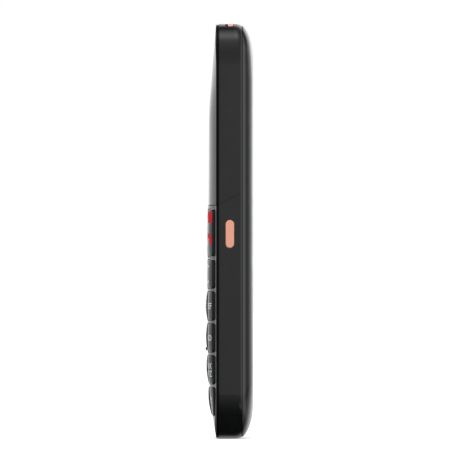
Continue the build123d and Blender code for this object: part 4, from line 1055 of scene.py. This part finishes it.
class PHONE_OT_gaskets(bpy.types.Operator):
    """Lays the strips in the seams: dark ones in the front seam and between the two fascias, which are painted
    shade, and a paler one behind the cover's rim
    """

    bl_idname = "phone.gaskets"
    bl_label = "Seam strips and painted seam shade"

    def execute(self, context):
        sizes, colours = context.scene.phone_sizes, context.scene.phone_colours
        # Dark strips for the front seam and the fascias' parting: painted shade, black and dull, laid where the
        # seams' shadow falls
        rubber = finish("Black painted-shade seam strip", colours.rubber, 0.75, 0.2, 0.002, Specular_IOR_Level=0.2)
        # The same rubber, a shade paler, for the strip behind the cover's rim
        grey = finish("Paler silicone gasket", "#141415", 0.75, 0.2, 0.002, IOR=1.41)
        thick = sizes.gasket / MM
        inset, depth = FRONT_STRIP_SEAT - thick / 2, SEAM_Y + FRONT_STRIP_DEPTH
        self.strip("front_gasket", inset, depth, FRONT_STRIP_HALF, thick / 2, rubber)
        self.parting_shade_strip(rubber)
        middle, half = (MID_BACK_Y + COVER_RIM_Y) / 2, (COVER_RIM_Y - MID_BACK_Y) / 2 + BACK_STRIP_LAP
        self.strip("back_gasket", COVER_INSET + BACK_STRIP_INSET, middle, half, BACK_STRIP_HALF_THICK, grey)
        return {"FINISHED"}

    def parting_shade_strip(self, material):
        """A dark flat strip across the front in the parting of the fascias: painted shade, laid where the
        parting's shadow falls. It follows the front's law there: one less the power of the distance in from the
        side over the roll."""
        x = (HALF_WIDTH - PARTING_SHADE_END_GAP) * np.sin(np.linspace(-math.pi / 2, math.pi / 2, 121))
        run = np.minimum(1, (HALF_WIDTH - np.abs(x)) / SIDE_ROLL)
        height = FRONT_RIM + (1 - (1 - run) ** SIDE_POWER) * (DISPLAY_HEIGHT - FRONT_RIM)
        lines = [
            np.stack([x, SEAM_Y - height - up, np.full(len(x), PARTING_Z + z)], axis=1) for up, z in PARTING_SHADE_SECTION
        ]
        rings = np.stack(lines, axis=1)
        shape = ring_shell(rings, rings[0].mean(axis=0), rings[-1].mean(axis=0))
        build("parting_shade_strip", shape, material)

    def strip(self, name, inset, y, half_wide, half_thick, material):
        """A strip carried along the body's outline: its section is a flattened superellipse whose width
        runs front to back and whose thickness runs inward."""
        edge, out = rounded_outline(body_core(), CORNER_R - inset, 360)
        wave = circle(16)
        section = np.sign(wave) * np.abs(wave) ** 0.5 * [half_thick, half_wide] + [0, y]
        build(name, carried(edge, out, section), material)


class PHONE_OT_back_details(bpy.types.Operator):
    """Builds the camera's lens and hood, the torch lens and the speaker cloth in the back"""

    bl_idname = "phone.back_details"
    bl_label = "Camera, torch and speaker"

    def execute(self, context):
        # Optical glass with a magnesium fluoride coat: dark with a faint violet cast
        glass = finish("Coated lens glass", "#0B0A10", 0.02, 3.0, 0.0001, handling=0.01, IOR=1.6)
        # Clear hardened glass, polished flat
        window = finish(
            "Clear hardened glass", "#F4F6F6", 0.03, 4.0, 0.0002, handling=0.02, IOR=1.52,
            Transmission_Weight=1.0, Specular_IOR_Level=0.2,
        )
        dress(window, "camera_window")
        # Turned aluminium, black anodised: fine circular tool marks
        hood = finish("Black anodised aluminium", "#2A2B2D", 0.3, 0.06, 0.001, Metallic=1.0)
        # Frosted polycarbonate light guide: milky, glows at its ripples
        frosted = finish(
            "Frosted polycarbonate", "#DDE0DE", 0.3, 0.15, 0.003, IOR=1.58, Transmission_Weight=0.6
        )
        # Acoustic cloth, woven polyester: black with no shine
        cloth = finish("Woven polyester cloth", "#0E0E10", 0.8, 0.1, 0.01)
        # Barrel of matt black nylon, which keeps stray light off the lens
        nylon = finish("Matt black nylon", "#08080A", 0.7, 0.12, 0.002, Specular_IOR_Level=0.1)
        dress(nylon, "camera_module")
        self.camera_lens(glass)
        self.camera_hood(hood)
        self.torch_lens(frosted)
        self.speaker_cloth(context.scene.phone_sizes.cloth_pitch / MM, cloth)
        return {"FINISHED"}

    def camera_lens(self, material):
        """A lens on the module's tip: a short edge, and a dome that is a quarter ellipse."""
        foot = node_box("camera_module")[1][1] - CAMERA_LENS_SINK
        edge = foot + CAMERA_LENS_EDGE
        profile = [(CAMERA_LENS_R, foot), (CAMERA_LENS_R, edge)]
        for turn in np.linspace(0.1, 1.45, 10):
            profile.append((CAMERA_LENS_R * math.cos(turn), edge + CAMERA_LENS_DOME * math.sin(turn)))
        rings = [(radius * circle(TURNED_POINTS), y) for radius, y in profile]
        centre = node_middle("camera_module")[[0, 2]]
        build("camera_lens", lofted(centre, rings, (foot, edge + CAMERA_LENS_DOME)), material)

    def camera_hood(self, material):
        """A ring turned about the camera's line under its window."""
        centre = node_middle("camera_module")[[0, 2]]
        ledge = node_box("camera_window")[0][1]
        section = [(radius, ledge + y) for radius, y in HOOD_SECTION]
        edge = np.broadcast_to(centre, (TURNED_POINTS, 2))
        piece = build("camera_hood", carried(edge, circle(TURNED_POINTS), section), material, "cover")
        bevel = piece.modifiers.new("edge", "BEVEL")
        bevel.width = 0.05 * MM

    def torch_lens(self, material):
        """A disc whose back is rippled in rings, each a half sine."""
        low, high = node_box("torch_lens")
        radius = (high[0] - low[0]) / 2
        profile = [(radius, low[1]), (radius, high[1] - 0.1)]
        for r in np.linspace(radius - 0.15, 0.1, 40):
            profile.append((r, high[1] - RIPPLE - RIPPLE * abs(math.sin(math.pi * r / RIPPLE_PITCH))))
        rings = [(r * circle(TURNED_POINTS), y) for r, y in profile]
        torch_piece = build("torch_fresnel", lofted(TORCH, rings, (low[1], high[1] - RIPPLE)), material, "cover")
        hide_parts("torch_lens")

    def speaker_cloth(self, pitch, material):
        """A cloth under the cover's slots."""
        half_x, half_z = CLOTH_HALF
        x, z = np.meshgrid(np.linspace(-half_x, half_x, 225), np.linspace(-half_z, half_z, 177))
        y = BACK_Y - CLOTH_SINK
        woven_sheet("speaker_cloth", SPEAKER, x, y, z, pitch, WEAVE_RISE, CLOTH_THICK, material, "cover")


class PHONE_OT_inner_parts(bpy.types.Operator):
    """Finishes the board, the battery and the parts that show when the cover is off"""

    bl_idname = "phone.inner_parts"
    bl_label = "Inner parts"

    def execute(self, context):
        # Battery cell in a printed polyester wrap: smooth and faintly wavy
        dress(finish("Polyester battery wrap", "#3B3D40", 0.4, 2.5, 0.004), "battery")
        # Fibreglass board under green solder resist: glossy, with a faint pattern of the weave
        dress(finish("Green solder resist", "#0E4A2C", 0.3, 0.9, 0.004), "main_board")
        # Keypad sheet of translucent silicone: dull and soft to the eye
        dress(finish("Grey silicone rubber", "#1C1C1E", 0.7, 0.2, 0.003, IOR=1.41), "keypad_sheet")
        # White diode package: an even pale ceramic
        dress(finish("White diode package", "#D8D6C8", 0.45, 0.2, 0.001), "torch_led")
        # Bare metals: zinc-plated screws, deep-drawn tinned cans, a nickel-plated port shell, gold-flashed
        # spring contacts and stamped domes, each bright with its own warmth and fineness of grain
        metals = [
            ("Plated steel", "#B4B6B8", 0.28, 0.08, 0.001, ["housing_screws"]),
            ("Tinned sheet steel", "#A9ABAC", 0.35, 0.3, 0.002, ["shield_can_left", "shield_can_right"]),
            ("Nickel-plated steel", "#8E8F90", 0.3, 0.1, 0.001, ["usb_port"]),
            ("Gold-flashed bronze", "#C9A24A", 0.32, 0.08, 0.001, ["battery_contacts"]),
            ("Stamped steel foil", "#9EA0A2", 0.35, 0.2, 0.001, ["dome_sheet"]),
        ]
        for *looks, names in metals:
            dress(finish(*looks, Metallic=1.0), *names)
        # Moulded black nylon housings: dull with a fine moulded grain
        dress(
            finish("Moulded black nylon housing", "#161617", 0.5, 0.12, 0.002), "side_switch", "top_switch",
            "volume_switch", "loudspeaker", "antenna_carrier", "vibration_motor", "sim_holder",
        )
        return {"FINISHED"}


class PHONE_OT_stage(bpy.types.Operator):
    """Lays the floor and sets the light and the camera"""

    bl_idname = "phone.stage"
    bl_label = "Floor, light and camera"

    def execute(self, context):
        studio = context.scene.phone_studio
        context.scene.view_settings.view_transform = "Standard"
        self.lay_floor()
        self.light_world(context.scene, studio.daylight)
        self.hang_softbox(studio.softbox)
        self.stand_camera(context.scene, studio.lens)
        return {"FINISHED"}

    def lay_floor(self):
        """A pale floor that shows white where no shadow falls."""
        floor = self.sheet("floor", (-6.0, 6.0), (-6.0, 6.0), 0.0)
        # Matt white paper sweep
        paper = bpy.data.materials.new("Matt white paper")
        paper.use_nodes = True
        tree = paper.node_tree
        tree.nodes.remove(tree.nodes["Principled BSDF"])
        place = object_place(tree)
        relief = add(tree, "ShaderNodeBump", {"Height": noise(tree, place, 0.6), "Distance": 0.02 * MM})
        plain = add(tree, "ShaderNodeBsdfDiffuse", {"Color": srgb("#EDEDED"), "Normal": relief.outputs["Normal"]})
        path = add(tree, "ShaderNodeLightPath").outputs
        lift = maths(tree, "MULTIPLY", self.seen_straight(tree, path), 0.5)
        glow = add(tree, "ShaderNodeEmission", {"Color": srgb("#FFFFFF"), "Strength": lift})
        both = add(tree, "ShaderNodeAddShader", {0: plain.outputs[0], 1: glow.outputs[0]})
        # Reflections see painted grey levels instead of the paper: a painted dark card beside the phone's foot
        # that fades out to the room, and in front of and behind the phone a painted bare floor
        split = stations(tree, place)
        painted_card = ramp(tree, split["X"], FLOOR_LEVELS, 0.0, FLOOR_REACH)
        past = spread(tree, maths(tree, "ABSOLUTE", split["Y"]), *BARE_START, 0.0, BARE_LEVEL)
        near = spread(tree, split["X"], *BARE_END, 1.0, 0.0)
        level = maths(tree, "MAXIMUM", painted_card, maths(tree, "MULTIPLY", past, near))
        mirrored = add(tree, "ShaderNodeEmission", {"Color": level})
        shown = either(tree, path["Is Glossy Ray"], both.outputs[0], mirrored.outputs[0])
        tree.links.new(shown, tree.nodes["Material Output"].inputs["Surface"])
        floor.data.materials.append(paper)

    def seen_straight(self, tree, path):
        """Output that is 1 for the camera's own rays, also through glass."""
        return maths(tree, "MAXIMUM", path["Is Camera Ray"], path["Is Transmission Ray"])

    def sheet(self, name, x_span, y_span, z):
        """A level sheet over a span of x and y, in metres."""
        x, y = np.meshgrid(np.linspace(*x_span, 3), np.linspace(*y_span, 3))
        points = np.stack([x, y, np.full_like(x, z)], axis=-1)
        mesh = bpy.data.meshes.new(name)
        mesh.from_pydata(points.reshape(-1, 3).tolist(), [], grid_patch(points).tolist())
        mesh.update()
        made = link(bpy.data.objects.new(name, mesh))
        return made

    def light_world(self, scene, strength):
        """White seen from the camera, even light on matt surfaces, and for reflections a studio of grey
        levels: one set in front, on the camera's side, and one behind with a dark gap over the knee."""
        world = bpy.data.worlds.new("White studio")
        scene.world = world
        world.use_nodes = True
        tree = world.node_tree
        path = add(tree, "ShaderNodeLightPath").outputs
        split = stations(tree, add(tree, "ShaderNodeTexCoord").outputs["Generated"])
        up = split["Z"]
        # The direction's compass part: X and Y over the length of their level share
        level = maths(tree, "SQRT", maths(tree, "SUBTRACT", 1.0001, maths(tree, "MULTIPLY", up, up)))
        ahead, aside = (maths(tree, "DIVIDE", split[axis], level) for axis in "XY")
        # Levels are halved here and doubled at the background
        front = ramp(tree, up, FRONT_LEVELS, -1)
        behind = ramp(tree, up, BEHIND_LEVELS, -1)
        sweep = ramp(tree, aside, ASIDE_LEVELS, -1)
        lit = add(tree, "ShaderNodeVectorMath", {0: behind, 1: sweep}, operation="MULTIPLY").outputs[0]
        doubled = add(tree, "ShaderNodeVectorMath", {0: lit, "Scale": 2.0}, operation="SCALE").outputs[0]
        studio = mixed(tree, spread(tree, ahead, -0.1, 0.5), doubled, front)
        even, white, mirrored = (
            add(tree, "ShaderNodeBackground", {"Color": colour, "Strength": power}).outputs[0]
            for colour, power in ((srgb("#FFFFFF"), strength), (srgb("#FFFFFF"), 1.0), (studio, 2.0))
        )
        seen = either(tree, self.seen_straight(tree, path), even, white)
        both = either(tree, path["Is Glossy Ray"], seen, mirrored)
        tree.links.new(both, tree.nodes["World Output"].inputs["Surface"])

    def hang_softbox(self, power):
        """A large lamp straight above the phone, for a soft shadow under it."""
        data = bpy.data.lights.new("softbox", "AREA")
        data.shape = "RECTANGLE"
        data.size, data.size_y = LAMP_SIDE, LAMP_SIDE
        data.energy = power
        lamp = link(bpy.data.objects.new("softbox", data))
        lamp.location = LAMP_PLACE
        lamp.visible_glossy = False

    def stand_camera(self, scene, lens):
        """A long lens straight at the right-hand side; the picture's side spans 144.2 mm at the side keys."""
        span = IMAGE_SIDE_PX * PIXEL_MM * MM
        data = bpy.data.cameras.new("side_camera")
        data.lens = lens
        data.sensor_width = SENSOR
        data.clip_end = 20.0
        camera = link(bpy.data.objects.new("side_camera", data))
        camera.location = (PLANE_X * MM + span * lens / SENSOR, VIEW_Y * MM, VIEW_Z * MM)
        camera.rotation_euler = (math.pi / 2, 0, math.pi / 2)
        scene.camera = camera


class PHONE_PT_panel(bpy.types.Panel):
    """Lists the phone's pieces and the sizes and colours that can be changed"""

    bl_idname = "PHONE_PT_panel"
    bl_label = "Bar Phone"
    bl_space_type = "VIEW_3D"
    bl_region_type = "UI"
    bl_category = "Bar Phone"

    def draw(self, context):
        for operator in OPERATORS:
            self.layout.operator(operator.bl_idname)
        for group in (context.scene.phone_sizes, context.scene.phone_colours, context.scene.phone_studio):
            box = self.layout.box()
            for name in group.bl_rna.properties.keys():
                if name not in ("rna_type", "name"):
                    box.prop(group, name)


OPERATORS = (
    PHONE_OT_frame_finish,
    PHONE_OT_cover,
    PHONE_OT_keycaps,
    PHONE_OT_legends,
    PHONE_OT_display,
    PHONE_OT_metal_buttons,
    PHONE_OT_gaskets,
    PHONE_OT_back_details,
    PHONE_OT_inner_parts,
    PHONE_OT_stage,
)
GROUPS = (PhoneSizes, PhoneColours, PhoneStudio)


def register():
    for made in (*GROUPS, *OPERATORS, PHONE_PT_panel):
        bpy.utils.register_class(made)
    bpy.types.Scene.phone_sizes = PointerProperty(type=PhoneSizes)
    bpy.types.Scene.phone_colours = PointerProperty(type=PhoneColours)
    bpy.types.Scene.phone_studio = PointerProperty(type=PhoneStudio)


def unregister():
    del bpy.types.Scene.phone_studio
    del bpy.types.Scene.phone_colours
    del bpy.types.Scene.phone_sizes
    for made in reversed((*GROUPS, *OPERATORS, PHONE_PT_panel)):
        bpy.utils.unregister_class(made)


def main():
    register()
    bpy.ops.phone.frame_finish()
    bpy.ops.phone.cover()
    bpy.ops.phone.keycaps()
    bpy.ops.phone.legends()
    bpy.ops.phone.display()
    bpy.ops.phone.metal_buttons()
    bpy.ops.phone.gaskets()
    bpy.ops.phone.back_details()
    bpy.ops.phone.inner_parts()
    bpy.ops.phone.stage()


if __name__ == "__main__":
    main()
